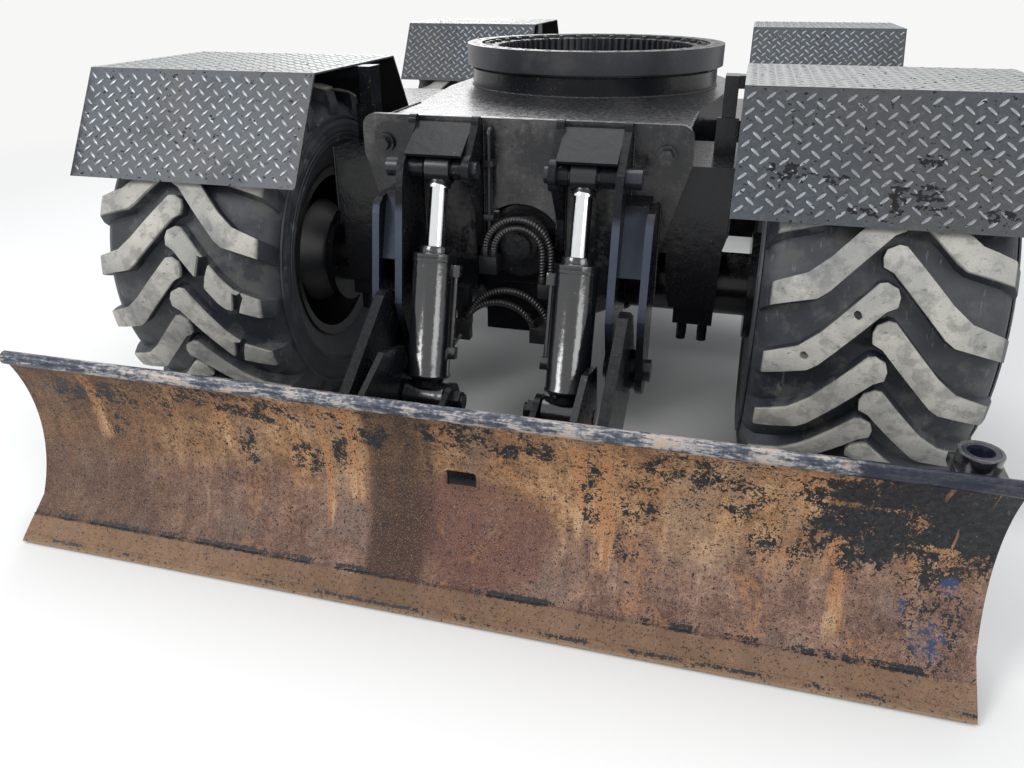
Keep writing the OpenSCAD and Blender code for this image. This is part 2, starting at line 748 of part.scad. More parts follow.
module moldboard() color("#8a4b28") {
    difference() {
        union() {
            across(-blade_w / 2, blade_w / 2) mould_profile();
            bar_x(-blade_w / 2, blade_w / 2, edge_top_y + mould_t / 2, mould_top_z, bar_d / 2);
            back_member(-blade_w / 2 + 40, blade_w / 2 - 40) polygon([
                [mould_back_y - 60, 130], [mould_back_y + 40, 140], [back_y, 190],
                [back_y, 285], [mould_back_y + 40, 300], [mould_back_y - 5, 303]
            ]);
            for (x = [-lash_x, -700, 700, lash_x]) back_member(x - 8, x + 8) polygon([
                [edge_top_y, mould_top_z - 15], [edge_top_y + 60, mould_top_z - 15],
                [mould_back_y + 68, 230], [mould_back_y - 20, 230]
            ]);
            // ribs that carry the push arms over and under the box
            for (x = [-arm_x - arm_w, arm_x]) back_member(x, x + arm_w) polygon([
                [mould_back_y - 30, 150], [back_y - 8, 176], [back_y, 200], [back_y, 385], [back_y - 12, 392],
                [mould_back_y - 20, 430]
            ]);
        }
        box(slot_x - slot_w / 2, slot_x + slot_w / 2, blade_y, blade_y + 400, slot_z - slot_h / 2, slot_z + slot_h / 2);
    }
    difference() {
        union() {
            box(lash_x - 50, lash_x + 50, edge_top_y + 25, lash_y + 40, mould_top_z - 14, mould_top_z + 8);
            translate([lash_x, lash_y, mould_top_z]) cylinder(h = 40, r = 45);
        }
        translate([lash_x, lash_y, mould_top_z + 10]) cylinder(h = 60, r = 28);
    }
}

module cutting_edge() color("#7a4527") {
    across(-blade_w / 2, blade_w / 2) translate([blade_y, blade_gap]) rotate(edge_angle) polygon([
        [0, 0], [edge_len, 0], [edge_len + edge_t / tan(edge_angle), -edge_t], [edge_t / tan(edge_angle), -edge_t]
    ]);
}

arm_r = 70;
arm_boss_r = 62;
lug_r = 55;
foot_gap = 5;
lug_out = cyl_x + foot_eye_w / 2 + foot_gap;
lug_in = cyl_x - foot_eye_w / 2 - foot_gap - lug_t;

module push_arms() color("#26272a") {
    difference() {
        union() {
            pair() {
                across(arm_x, arm_x + arm_w) {
                    polygon([
                        [back_y, 200], [back_y, 385], [back_y + 24, 400], [pivot_y - 180, pivot_z + 235],
                        [pivot_y - 140, pivot_z + 240], [pivot_y - 60, pivot_z + 200], [pivot_y + arm_r, pivot_z],
                        [pivot_y, pivot_z - arm_r], [foot_y - 12, 215]
                    ]);
                    translate([pivot_y, pivot_z]) circle(r = arm_r);
                }
                bar_x(arm_x - arm_gap + 5, arm_x + arm_w + arm_gap - 5, pivot_y, pivot_z, arm_boss_r);
                // high rib on the outer side of a cylinder foot, low lug on its inner side
                across(lug_out, lug_out + lug_t) {
                    polygon([
                        [back_y, 190], [back_y, 430], [back_y + 55, 470], [foot_y - 132, foot_z + 200],
                        [foot_y + 18, foot_z + 160], [foot_y + lug_r, foot_z], [foot_y, foot_z - lug_r]
                    ]);
                    translate([foot_y, foot_z]) circle(r = lug_r);
                }
                across(lug_in, lug_in + lug_t) {
                    polygon([
                        [back_y, 190], [back_y, 285], [foot_y, foot_z + lug_r], [foot_y + lug_r, foot_z],
                        [foot_y, foot_z - lug_r]
                    ]);
                    translate([foot_y, foot_z]) circle(r = lug_r);
                }
            }
            // cross beam between the arms
            box(-arm_x - arm_w, arm_x + arm_w, back_y, back_y + 80, 190, 285);
        }
        pair() {
            bar_x(arm_x - arm_gap, arm_x + arm_w + arm_gap, pivot_y, pivot_z, pivot_r + running);
            bar_x(lug_in - 1, lug_out + lug_t + 1, foot_y, foot_z, pin_r + pin_play);
        }
    }
    // foot pins with their nuts
    pair() {
        bar_x(lug_in - 33, lug_out + lug_t + 3, foot_y, foot_z, pin_r);
        bar_x(lug_in - 24, lug_in - fit, foot_y, foot_z, pin_r + 10, $fn = 6);
    }
}

// blade cylinders, drawn upright on the foot pin and tilted into place

module on_foot(side) {
    one_side(side) translate([cyl_x, foot_y, foot_z]) rotate([-cyl_tilt, 0, 0]) children();
}

barrel_r = barrel_d / 2;
barrel_foot = 68;
barrel_len = 459;
gland_h = 20;
foot_eye_r = 52;
head_eye_r = 42;
rod_start = 200;

module barrel(side) color("#202124") on_foot(side) {
    difference() {
        union() {
            rotate_extrude() polygon([
                [0, 0], [48, 0], [48, barrel_foot - 14], [barrel_r - 2, barrel_foot], [barrel_r + 3, barrel_foot + 2],
                [barrel_r + 3, barrel_foot + 10], [barrel_r, barrel_foot + 14], [barrel_r, barrel_len - gland_h - 26],
                [barrel_r + 2, barrel_len - gland_h - 25], [barrel_r + 2, barrel_len - gland_h - 2],
                [barrel_r, barrel_len - gland_h], [46, barrel_len - gland_h], [46, barrel_len - 2],
                [44, barrel_len], [0, barrel_len]
            ]);
            translate([-foot_eye_w / 2, 0, 0]) rotate([0, 90, 0]) cylinder(h = foot_eye_w, r = foot_eye_r);
            // oil pipe along the inner side with its two blocks
            translate([-barrel_r - 6, 0, barrel_foot + 85]) cylinder(h = 245, r = pipe_r);
            for (z = [barrel_foot + 60, barrel_len - gland_h - 66])
                translate([-barrel_r - 14, -16, z]) cube([30, 32, 36]);
        }
        translate([-foot_eye_w, 0, 0]) rotate([0, 90, 0]) cylinder(h = 2 * foot_eye_w, r = pin_r + running);
        translate([0, 0, 80]) cylinder(h = barrel_len, r = rod_d / 2 + running);
    }
}

module rod(side) color("#d7dadd") on_foot(side) {
    difference() {
        union() {
            translate([0, 0, rod_start]) cylinder(h = cyl_len - rod_start - 20, r = rod_d / 2);
            translate([-head_eye_w / 2, 0, cyl_len]) rotate([0, 90, 0]) cylinder(h = head_eye_w, r = head_eye_r);
        }
        translate([-head_eye_w, 0, cyl_len]) rotate([0, 90, 0]) cylinder(h = 2 * head_eye_w, r = pin_r + eye_drift);
    }
}

chassis_frame();
end_plate();
blade_bracket(-1);  // blade_bracket_left
blade_bracket(1);  // blade_bracket_right
slew_race_fixed();
slew_race_turning();
swivel_joint();
rigid_axle();
travel_gearbox();
drive_shaft();
fixed_mudguard(-1);  // mudguard_rigid_left
fixed_mudguard(1);  // mudguard_rigid_right
mudguard_mounts();
tool_box(-1);  // tool_box_left
tool_box(1);  // tool_box_right
tail_plate();
tow_pin();
blade_hoses();
steering_axle();
knuckle(-1);  // knuckle_left
knuckle(1);  // knuckle_right
tie_rod();
steered_mudguard(-1);  // mudguard_steer_left
steered_mudguard(1);  // mudguard_steer_right
rim(-1, rigid_y);  // rim_rigid_left
rim(1, rigid_y);  // rim_rigid_right
rim(-1, steer_y);  // rim_steer_left
rim(1, steer_y);  // rim_steer_right
tyre(-1, rigid_y);  // tyre_rigid_left
tyre(1, rigid_y);  // tyre_rigid_right
tyre(-1, steer_y);  // tyre_steer_left
tyre(1, steer_y);  // tyre_steer_right
moldboard();
cutting_edge();
push_arms();
blade_pins();
barrel(-1);  // barrel_left
barrel(1);  // barrel_right
rod(-1);  // rod_left
rod(1);  // rod_right
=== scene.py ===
import json
import math
import random
import bmesh
import bpy
from mathutils import Matrix, Vector


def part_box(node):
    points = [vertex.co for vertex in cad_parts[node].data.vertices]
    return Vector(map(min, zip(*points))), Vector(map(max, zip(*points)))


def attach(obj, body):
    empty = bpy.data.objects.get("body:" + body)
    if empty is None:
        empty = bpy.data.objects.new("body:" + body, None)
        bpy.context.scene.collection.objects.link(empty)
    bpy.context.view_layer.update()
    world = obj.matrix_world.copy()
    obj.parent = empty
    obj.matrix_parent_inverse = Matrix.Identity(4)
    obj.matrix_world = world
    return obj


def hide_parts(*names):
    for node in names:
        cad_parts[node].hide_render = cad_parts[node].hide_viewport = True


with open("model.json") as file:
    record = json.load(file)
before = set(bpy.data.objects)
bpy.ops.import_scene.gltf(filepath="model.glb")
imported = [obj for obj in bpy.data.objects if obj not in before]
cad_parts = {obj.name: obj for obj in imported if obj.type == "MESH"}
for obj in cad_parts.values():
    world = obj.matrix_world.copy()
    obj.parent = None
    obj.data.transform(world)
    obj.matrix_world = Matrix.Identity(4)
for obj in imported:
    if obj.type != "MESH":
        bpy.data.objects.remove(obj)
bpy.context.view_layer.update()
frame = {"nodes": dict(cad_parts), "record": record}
nodes = frame["nodes"]
joints = {joint["name"]: joint for joint in frame["record"]["behaviour"]["joints"]}
slots = {entry["node"]: entry["material_slot"] for entry in frame["record"]["subparts"]}
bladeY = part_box("cutting_edge")[0].y
still = Matrix.Identity(4)
sides = (("left", -1), ("right", 1))
wheels = ("rigid_left", "rigid_right", "steer_left", "steer_right")
print("frame loaded:", len(nodes), "nodes")


def jointPlace(name):
    return Vector(joints[name]["pos_m"])


def placed(name, data):
    thing = bpy.data.objects.new(name, data)
    bpy.context.scene.collection.objects.link(thing)
    return thing


def listedMesh(name, points, faces, edges=()):
    mesh = bpy.data.meshes.new(name)
    mesh.from_pydata(points, edges, faces)
    return mesh


# a plain mesh from an edited one, which is then freed
def settled(edited, name, mesh=None):
    mesh = mesh or bpy.data.meshes.new(name)
    edited.to_mesh(mesh)
    edited.free()
    return mesh


def facedOut(mesh):
    edited = bmesh.new()
    edited.from_mesh(mesh)
    bmesh.ops.recalc_face_normals(edited, faces=edited.faces)
    return settled(edited, "faced", mesh)


# the view from the blade end, measured from the middle of the cutting edge
camera = {"side": 0.626, "ahead": 1.511, "height": 1.489,
          "turn": 15.25, "down": 26.42, "roll": -0.16, "lens": 28.93}


def makeCamera():
    data = bpy.data.cameras.new("photoCamera")
    data.lens, data.sensor_width, data.clip_end = camera["lens"], 36, 900
    body = placed("photoCamera", data)
    turn = Matrix.Rotation(math.radians(camera["turn"]), 4, "Z")
    tilt = Matrix.Rotation(math.radians(90 - camera["down"]), 4, "X")
    roll = Matrix.Rotation(math.radians(camera["roll"]), 4, "Z")
    place = Matrix.Translation((camera["side"], bladeY - camera["ahead"], camera["height"]))
    body.matrix_world = place @ turn @ tilt @ roll
    bpy.context.scene.camera = body


makeCamera()
# the part is mostly black, so light that has bounced often adds nothing
for kind, bounces in (("max", 5), ("diffuse", 2), ("glossy", 3)):
    setattr(bpy.context.scene.cycles, kind + "_bounces", bounces)


# shader maths: a wrapped socket adds its Math nodes through Python's operators
class Wire:
    def __init__(self, maker, socket):
        self.maker, self.socket = maker, socket

    def __add__(self, other):
        return self.maker.calc("ADD", self, other)

    __radd__ = __add__

    def __mul__(self, other):
        return self.maker.calc("MULTIPLY", self, other)

    __rmul__ = __mul__

    def __sub__(self, other):
        return self.maker.calc("SUBTRACT", self, other)

    def __rsub__(self, other):
        return self.maker.calc("SUBTRACT", other, self)

    def __pow__(self, other):
        return self.maker.calc("POWER", self, other)

    def __gt__(self, other):
        return self.maker.calc("GREATER_THAN", self, other)

    def clamp(self):
        return self.maker.calc("ADD", self, 0.0, clamp=True)

    def top(self, other):
        return self.maker.calc("MAXIMUM", self, other)

    def size(self):
        return self.maker.calc("ABSOLUTE", self)

    def wave(self):
        return self.maker.calc("SINE", self)

    # 0 below one value, 1 above the other, smooth between them
    def rise(self, start, end):
        step = ((self - start) * (1.0 / (end - start))).clamp()
        return step * step * (3.0 - 2.0 * step)


class Maker:
    def __init__(self, owner, textured=True):
        owner.use_nodes = True
        self.owner, self.tree = owner, owner.node_tree
        self.tree.nodes.clear()
        self.here = self.add("ShaderNodeTexCoord", out="Object") if textured else None

    def feed(self, socket, value):
        if isinstance(value, Wire):
            self.tree.links.new(value.socket, socket)
        elif hasattr(value, "__len__") and socket.type == "RGBA" and len(value) == 3:
            socket.default_value = (*value, 1.0)
        else:
            socket.default_value = value

    # one node: its settings first, then the values or links of its sockets
    def add(self, kind, settings=None, inputs=None, out=0):
        node = self.tree.nodes.new(kind)
        for key, value in (settings or {}).items():
            if key == "stops":
                ramp = node.color_ramp
                while len(ramp.elements) < len(value):
                    ramp.elements.new(0.5)
                for element, (place, colour) in zip(ramp.elements, value):
                    element.position, element.color = place, (*colour, 1.0)
            else:
                setattr(node, key, value)
        for key, value in (inputs or {}).items():
            self.feed(node.inputs[key], value)
        return Wire(self, node.outputs[out]) if node.outputs else None

    def calc(self, operation, *values, clamp=False):
        return self.add("ShaderNodeMath", {"operation": operation, "use_clamp": clamp}, dict(enumerate(values)))

    def split(self, vector):
        first = self.add("ShaderNodeSeparateXYZ", None, {0: vector})
        return [Wire(self, output) for output in first.socket.node.outputs]

    def stretched(self, scale, shift=(0, 0, 0)):
        return self.add("ShaderNodeMapping", None, {"Vector": self.here, "Scale": scale, "Location": shift}, "Vector")

    def noise(self, scale, detail, rough=0.6, vector=None, warp=0.0):
        return self.add("ShaderNodeTexNoise", None, {"Vector": vector or self.here, "Scale": scale, "Detail": detail,
                                                     "Roughness": rough, "Distortion": warp})

    def mix(self, amount, first, second):
        return self.add("ShaderNodeMix", {"data_type": "RGBA"}, {0: amount, 6: first, 7: second}, 2)

    # a colour with others laid over it in turn, each given by how much of which
    def layers(self, colour, *others):
        for amount, other in others:
            colour = self.mix(amount, colour, other)
        return colour

    def ramp(self, amount, stops):
        return self.add("ShaderNodeValToRGB", {"stops": stops}, {"Fac": amount}, "Color")

    # how far a face looks right, back and up
    def facing(self):
        return self.split(self.add("ShaderNodeNewGeometry", out="Normal"))

    # the highest of several oval stains, each given by its middle and its half sizes
    def stains(self, across, high, places):
        most = None
        for middle, level, wide, tall in places:
            first, second = (across - middle) * (1.0 / wide), (high - level) * (1.0 / tall)
            near = 1.0 - (first * first + second * second)
            most = near if most is None else most.top(near)
        return most.clamp()

    def close(self, shader, kind="ShaderNodeOutputMaterial"):
        self.add(kind, None, {0: shader})
        return self.owner

    def finish(self, colour, roughness, metallic=0.0, bump=None, bumpDepth=0.002, mirror=1.5):
        inputs = {"Base Color": colour, "Roughness": roughness, "Metallic": metallic, "IOR": mirror}
        if bump is not None:
            heights = {"Height": bump, "Distance": bumpDepth, "Strength": 1.0}
            inputs["Normal"] = self.add("ShaderNodeBump", None, heights, "Normal")
        return self.close(self.add("ShaderNodeBsdfPrincipled", None, inputs))


def startMaterial(name):
    make = Maker(bpy.data.materials.new(name))
    return make, *make.split(make.here)


# gloss black under road dust: dust lies on top faces and clings to upright plates in clouds; narrow front edges can
# get a bluish painted reflection of the sky
chassisPaint = {"black": (0.0070, 0.0078, 0.0100), "dust": (0.172, 0.166, 0.162), "dryDust": (0.27, 0.26, 0.25),
                "rust": (0.11, 0.055, 0.032), "gloss": 0.20, "dull": 0.66, "narrowEdge": (0.052, 0.064, 0.092)}
# darker patches on the dusty end plate, where less dust is drawn: across, height, half width, half height
endPlatePatches = [(-0.415, 1.050, 0.060, 0.055), (-0.100, 0.960, 0.030, 0.150), (-0.470, 0.800, 0.090, 0.200),
           (0.060, 0.640, 0.500, 0.060), (-0.180, 1.020, 0.080, 0.080), (0.130, 0.930, 0.020, 0.160),
           (0.440, 0.800, 0.050, 0.150)]


def blackPaint(name, clinging, onTop=0.5, gloss=chassisPaint["gloss"], mirror=1.5, withPatches=False, paintedEdgeGlint=False):
    make, x, y, z = startMaterial(name)
    clouds = make.noise(4.0, 4.0)
    fine = make.noise(60.0, 3.0, 0.7)
    grit = make.noise(260.0, 1.0)
    brush = make.noise(1.0, 3.0, vector=make.stretched((34.0, 34.0, 3.0)))
    right, back, up = make.facing()
    cover = (clouds * 0.6 + fine * 0.25 + brush * 0.15).rise(0.60 - 0.32 * clinging, 0.82 - 0.30 * clinging)
    dust = (cover * clinging + up.rise(0.35, 0.9) * onTop * fine.rise(0.38, 0.64)).clamp()
    if withPatches:
        # the dust is thinned in the listed patches, so the black shows through there
        dust = dust * (1.0 - (make.stains(x, z, endPlatePatches) * 1.6 + fine - 0.5).rise(0.25, 0.75) * 0.85)
    chips = (make.noise(95.0, 1.0, 0.5) > 0.715) * clouds.rise(0.50, 0.58)
    specks = (grit > 0.68) * clouds.rise(0.42, 0.56) * clinging
    colour = make.layers(chassisPaint["black"],
                         (dust * (0.55 + grit * 0.35), chassisPaint["dust"]),
                         (fine.rise(0.55, 0.75) * dust * 0.35 + specks * 0.7, chassisPaint["dryDust"]))
    # painted reflection: a bluish glint of the sky on the forward-facing faces of the hangers and push arms
    if paintedEdgeGlint:
        front = (0.0 - back).rise(0.75, 0.95) * (x.size() - 0.3).rise(0.0, 0.002) * (1.0 - z.rise(0.86, 0.90))
        colour = make.mix(front * (0.45 + clouds * 0.9) * z.rise(0.50, 0.66), colour, chassisPaint["narrowEdge"])
    colour = make.mix(chips * 0.8, colour, chassisPaint["rust"])
    roughness = (gloss + dust * (chassisPaint["dull"] - gloss) + fine * 0.10 - 0.02).clamp()
    height = fine * 0.4 + grit * 0.06 + make.noise(22.0, 2.0, 0.5) * 0.9
    return make.finish(colour, roughness, bump=height, bumpDepth=0.0014, mirror=mirror)


# bare steel gone to rust, with what is left of the black paint in flakes; levels are heights over the ground
bladeLook = {"barFrom": 0.527, "seam": 0.0625, "lip": 0.0185,
             "tan": [(0.0, (0.085, 0.042, 0.023)), (0.35, (0.205, 0.105, 0.052)), (0.68, (0.335, 0.185, 0.092)),
                     (1.0, (0.500, 0.325, 0.180))],
             "brown": [(0.0, (0.070, 0.037, 0.033)), (0.42, (0.150, 0.086, 0.068)), (0.75, (0.235, 0.142, 0.108)),
                       (1.0, (0.370, 0.250, 0.180))],
             # the bar's pale tones are scraped steel and also a painted highlight
             "bar": [(0.0, (0.022, 0.027, 0.042)), (0.34, (0.060, 0.068, 0.090)), (0.56, (0.17, 0.172, 0.185)),
                     (0.78, (0.36, 0.33, 0.31)), (1.0, (0.40, 0.27, 0.20))]}
# the curved plate's front face: an arc between two levels, and how far back its ends lie
bladeCurve = {"low": 0.0979, "high": 0.545, "radius": 0.443, "foot": 0.11505}
curveLevel = (bladeCurve["low"] + bladeCurve["high"]) / 2
curveBack = math.sqrt(bladeCurve["radius"] ** 2 - (bladeCurve["high"] - curveLevel) ** 2) - bladeCurve["foot"]
# rust runs: across, half width, top, bottom
rustRuns = [(-1.045, 0.022, 0.53, 0.28), (-0.345, 0.015, 0.52, 0.13), (-0.262, 0.020, 0.54, 0.20),
            (0.335, 0.018, 0.50, 0.20), (0.408, 0.026, 0.53, 0.12), (0.865, 0.034, 0.53, 0.36),
            (0.955, 0.020, 0.40, 0.07), (-0.640, 0.014, 0.46, 0.30)]
# stains on the blade: across, height, half width, half height
flaked = [(-1.12, 0.45, 0.06, 0.05), (-0.97, 0.46, 0.10, 0.045), (-0.80, 0.47, 0.05, 0.05),
          (-0.66, 0.485, 0.12, 0.04), (-0.50, 0.47, 0.12, 0.05), (-0.305, 0.40, 0.025, 0.12),
          (-0.20, 0.45, 0.045, 0.07), (-0.58, 0.34, 0.03, 0.09), (-0.40, 0.33, 0.06, 0.05),
          (-0.99, 0.34, 0.03, 0.05), (0.04, 0.475, 0.15, 0.045), (0.20, 0.455, 0.10, 0.05),
          (0.370, 0.33, 0.03, 0.15), (0.49, 0.33, 0.05, 0.11), (0.60, 0.465, 0.13, 0.055), (0.72, 0.40, 0.07, 0.07),
          (0.78, 0.27, 0.04, 0.07), (0.47, 0.22, 0.05, 0.05), (1.17, 0.17, 0.08, 0.13), (1.00, 0.28, 0.07, 0.05)]
reddened = [(0.08, 0.20, 0.24, 0.16), (-0.14, 0.12, 0.10, 0.12)]
wornThrough = [(0.94, 0.515, 0.14, 0.020), (0.99, 0.425, 0.14, 0.010), (1.14, 0.330, 0.08, 0.012),
               (1.10, 0.40, 0.03, 0.03)]
oldBlue = [(1.17, 0.115, 0.05, 0.045), (1.09, 0.175, 0.03, 0.04), (1.20, 0.24, 0.03, 0.03)]


def bladeRust(name):
    make, x, y, z = startMaterial(name)
    broad = make.noise(2.6, 3.0, warp=0.3)
    mid = make.noise(13.0, 4.0, 0.65)
    fine = make.noise(70.0, 4.0, 0.7)
    grain = make.noise(260.0, 2.0, 0.65)
    pits = make.noise(480.0, 1.0)
    clumps = make.noise(24.0, 4.0)
    runs = make.noise(1.0, 4.0, 0.65, make.stretched((26.0, 1.5, 2.6)), 0.4)
    thinRuns = make.noise(1.0, 4.0, vector=make.stretched((85.0, 4.0, 5.0)))
    bloom = make.noise(6.5, 5.0, 0.62, make.stretched((1.3, 1.0, 0.6), (5.0, 0.0, 2.0)), 0.6).rise(0.53, 0.64)
    greyed = make.noise(5.0, 4.0, vector=make.stretched((1.0, 1.0, 0.5), (3.0, 1.0, 7.0))).rise(0.52, 0.68)
    tone = (broad * 0.26 + mid * 0.30 + fine * 0.26 + runs * 0.18).rise(0.36, 0.64)
    # the middle is a redder brown; left of the slot a painted shadow darkens a band from the top bar down
    red = make.stains(x, z, reddened).rise(0.0, 0.5) * mid.rise(0.25, 0.55)
    # painted shadow: a dark band just left of the slot
    dark = (x + mid * 0.05).rise(-0.215, -0.180) * (1.0 - (x + runs * 0.14).rise(-0.03, 0.06))
    colour = make.layers(
        make.ramp(tone, bladeLook["brown"]),
        ((z + broad * 0.30 + runs * 0.10).rise(0.40, 0.56), make.ramp(tone, bladeLook["tan"])),
        (bloom * fine.rise(0.38, 0.62) * 0.65, (0.365, 0.175, 0.075)),
        ((1.0 - (x + broad * 0.3).rise(-0.95, -0.30)) * (0.42 + fine * 0.4), (0.075, 0.045, 0.034)),
        (greyed * 0.40, (0.200, 0.160, 0.132)),
        (red * 0.72, (0.120, 0.048, 0.042)),
        (dark * (0.52 + fine * 0.5), (0.036, 0.021, 0.018)))
    # long runs of fresh rust, pale at their lower ends
    for middle, wide, top, bottom in rustRuns:
        line = 1.0 - ((x - middle + (runs - 0.5) * 0.10 + (mid - 0.5) * 0.03) * (1.0 / wide)).size().rise(0.45, 1.0)
        line = line * z.rise(bottom, bottom + 0.05) * (1.0 - z.rise(top - 0.02, top))
        foot = line * (1.0 - z.rise(bottom + 0.03, bottom + 0.16))
        colour = make.layers(colour, (line * (0.35 + fine * 0.8), (0.400, 0.185, 0.078)),
                             (foot * thinRuns.rise(0.36, 0.56) * 0.7, (0.520, 0.380, 0.235)))
    # the edge plate is scoured lighter below its seam, and a painted shadow darkens it from near its left end towards
    # the right
    low = 1.0 - (z + fine * 0.006).rise(bladeLook["seam"] - 0.002, bladeLook["seam"] + 0.004)
    lip = 1.0 - z.rise(bladeLook["lip"] - 0.006, bladeLook["lip"])
    colour = make.layers(colour,
                         (grain.rise(0.50, 0.66) * 0.62, (0.048, 0.028, 0.022)),
                         (pits.rise(0.56, 0.70) * 0.45, (0.520, 0.370, 0.235)),
                         (low * (0.15 + fine * 0.55), (0.330, 0.200, 0.110)),
                         # painted shadow on the edge plate, growing from x -0.9 to x -0.3 and holding to the right
                         # end
                         (low * x.rise(-0.9, -0.3) * 0.42, (0.110, 0.066, 0.045)),
                         (lip * 0.5, (0.330, 0.235, 0.150)))
    # flakes of paint: dense in the listed places and at the right end, and along both seams
    crackle = (make.noise(105.0, 3.0, 0.72) * 0.6 + grain * 0.4 - 0.5) * 1.35 + 0.5
    atEnd = ((x + (clumps - 0.5) * 0.30).rise(0.83, 0.96)
             * (z + (broad - 0.5) * 0.25 + (clumps - 0.5) * 0.20).rise(0.235, 0.345))
    broken = make.noise(1.0, 4.0, 0.7, make.stretched((9.0, 1.0, 9.0), (2.0, 0.0, 5.0))).rise(0.40, 0.56)
    alongSeam = ((1.0 - ((z - bladeLook["seam"] - 0.003) * 140.0).size().rise(0.2, 1.0)) * broken
                 + (1.0 - ((z - bladeLook["lip"] - 0.002) * 190.0).size().rise(0.2, 1.0)) * (1.0 - broken) * 0.8)
    # the back keeps most of its paint
    bow = (bladeCurve["radius"] ** 2 - (z - curveLevel) * (z - curveLevel)).top(0.0) ** 0.5
    behind = (y - bladeY + curveBack - bow).rise(0.006, 0.009) * z.rise(0.10, 0.11)
    amount = (make.stains(x, z, flaked).rise(0.0, 0.55) * (0.088 + (clumps - 0.5) * 0.62)
              + z.rise(0.20, 0.46) * (clumps - 0.40) * 0.34 + atEnd * 0.25
              - make.stains(x, z, wornThrough) * 0.16 + alongSeam * 0.24 + behind * (0.06 + clumps * 0.16))
    paint = ((crackle + amount).rise(0.592, 0.618) * (1.0 - runs.rise(0.62, 0.68) * 0.7)).clamp()
    black = make.layers((0.0075, 0.0085, 0.0110), (fine.rise(0.36, 0.70), (0.026, 0.027, 0.030)),
                        (make.stains(x, z, oldBlue).rise(0.1, 0.6), (0.030, 0.048, 0.105)))
    # plain black inside the slot: partly the back's black paint, partly painted shade in the hole
    slot = (1.0 - (x - 0.030).size().rise(0.060, 0.065)) * (1.0 - (z - 0.310).size().rise(0.046, 0.050))
    # the round bar: scraped blue black steel, whole paint at its right end; its pale scrape tones also paint a
    # highlight along the bar
    bar = z.rise(bladeLook["barFrom"], bladeLook["barFrom"] + 0.005)
    scrape = make.noise(1.0, 4.0, 0.75, make.stretched((11.0, 60.0, 50.0)))
    whole = (x + (clumps - 0.5) * 0.3).rise(0.90, 0.98)
    barScrapesAndHighlight = make.mix(whole * 0.92, make.ramp((scrape * 0.6 + fine * 0.25 + broad * 0.15).rise(0.38, 0.62),
                                               bladeLook["bar"]), (0.010, 0.014, 0.027))
    colour = make.layers(colour, (paint, black), (slot * behind, (0.008, 0.008, 0.008)), (bar, barScrapesAndHighlight))
    sheen = (bar * (0.25 + whole * 0.65)).clamp()
    roughness = (0.82 - paint * 0.40 - bar * 0.42 - sheen * 0.12 + grain * 0.08).clamp()
    relief = (fine * 0.6 + mid * 0.25 + grain * 0.5) * (1.0 - bar * 0.7)
    return make.finish(colour, roughness, bump=relief, bumpDepth=0.0026, mirror=1.36)


# worn tread: pale dust on the running faces, black rubber between them, brown dust low on the walls
tyreLook = {"rubber": (0.0110, 0.0140, 0.0220), "wall": (0.035, 0.039, 0.047), "lug": (0.455, 0.440, 0.395),
            "crown": 0.5825, "flat": 0.10, "bow": 0.42}


def tyreRubber(name, centre):
    make, x, y, z = startMaterial(name)
    reach = ((y - centre.y) * (y - centre.y) + (z - centre.z) * (z - centre.z)) ** 0.5
    side = (x - centre.x).size()
    broad = make.noise(4.0, 3.0)
    fine = make.noise(60.0, 3.0, 0.65)
    grain = make.noise(260.0, 1.0)
    out = (side - tyreLook["flat"]).top(0.0)
    running = (reach - (tyreLook["crown"] - out * out * tyreLook["bow"])).rise(-0.012, -0.004)
    top = (running * (0.55 + make.noise(22.0, 3.0, 0.62).rise(0.36, 0.60) * 0.5 + fine * 0.2)).clamp()
    muddy = make.noise(9.0, 4.0, 0.68).rise(0.49, 0.62)
    rubs = make.noise(1.0, 3.0, 0.75, make.stretched((70.0, 14.0, 14.0))).rise(0.62, 0.70)
    cuts = make.noise(1.0, 4.0, 0.7, make.stretched((40.0, 90.0, 90.0))).rise(0.62, 0.70)
    dusty = make.layers(tyreLook["lug"], (broad.rise(0.35, 0.7), (0.255, 0.255, 0.245)),
                        (grain.rise(0.5, 0.8) * 0.4, (0.15, 0.145, 0.135)), (cuts * 0.5, (0.05, 0.05, 0.05)))
    colour = make.layers(tyreLook["rubber"],
                         (broad.rise(0.35, 0.65) * 0.5 + side.rise(0.24, 0.30) * 0.4, tyreLook["wall"]),
                         (muddy * 0.62 * (1.0 - side.rise(0.26, 0.31) * 0.5), (0.088, 0.086, 0.082)),
                         (rubs * 0.35, (0.21, 0.215, 0.22)), (top, dusty))
    # fine rings low on the walls
    rings = (((reach - 0.30) * 260.0).wave() * 0.5 + 0.5) * side.rise(0.29, 0.305) * (1.0 - reach.rise(0.44, 0.47))
    roughness = (0.46 + top * 0.40 + fine * 0.15 + muddy * 0.15).clamp()
    height = fine * 0.4 + grain * 0.25 + rings * 0.8 + cuts * running * 0.6
    return make.finish(colour, roughness, bump=height, bumpDepth=0.0016)


# checker plate outside, black paint on the faces that look down; scuffs: across, height, half sizes
# the raised bars' colour is lighter than the plate: worn steel, and also a painted highlight on the bars
guardLook = {"plate": (0.060, 0.068, 0.078), "worn": (0.064, 0.066, 0.068), "bare": (0.135, 0.145, 0.155),
             "black": (0.006, 0.006, 0.008), "top": (0.43, 0.44, 0.43), "bar": (0.270, 0.290, 0.310)}
scuffs = [(0.755, 1.040, 0.080, 0.034), (0.860, 1.030, 0.045, 0.020), (1.010, 0.995, 0.032, 0.060),
          (1.085, 1.000, 0.060, 0.045), (1.250, 0.968, 0.055, 0.026), (0.940, 0.962, 0.060, 0.014),
          (1.080, 1.075, 0.050, 0.020)]


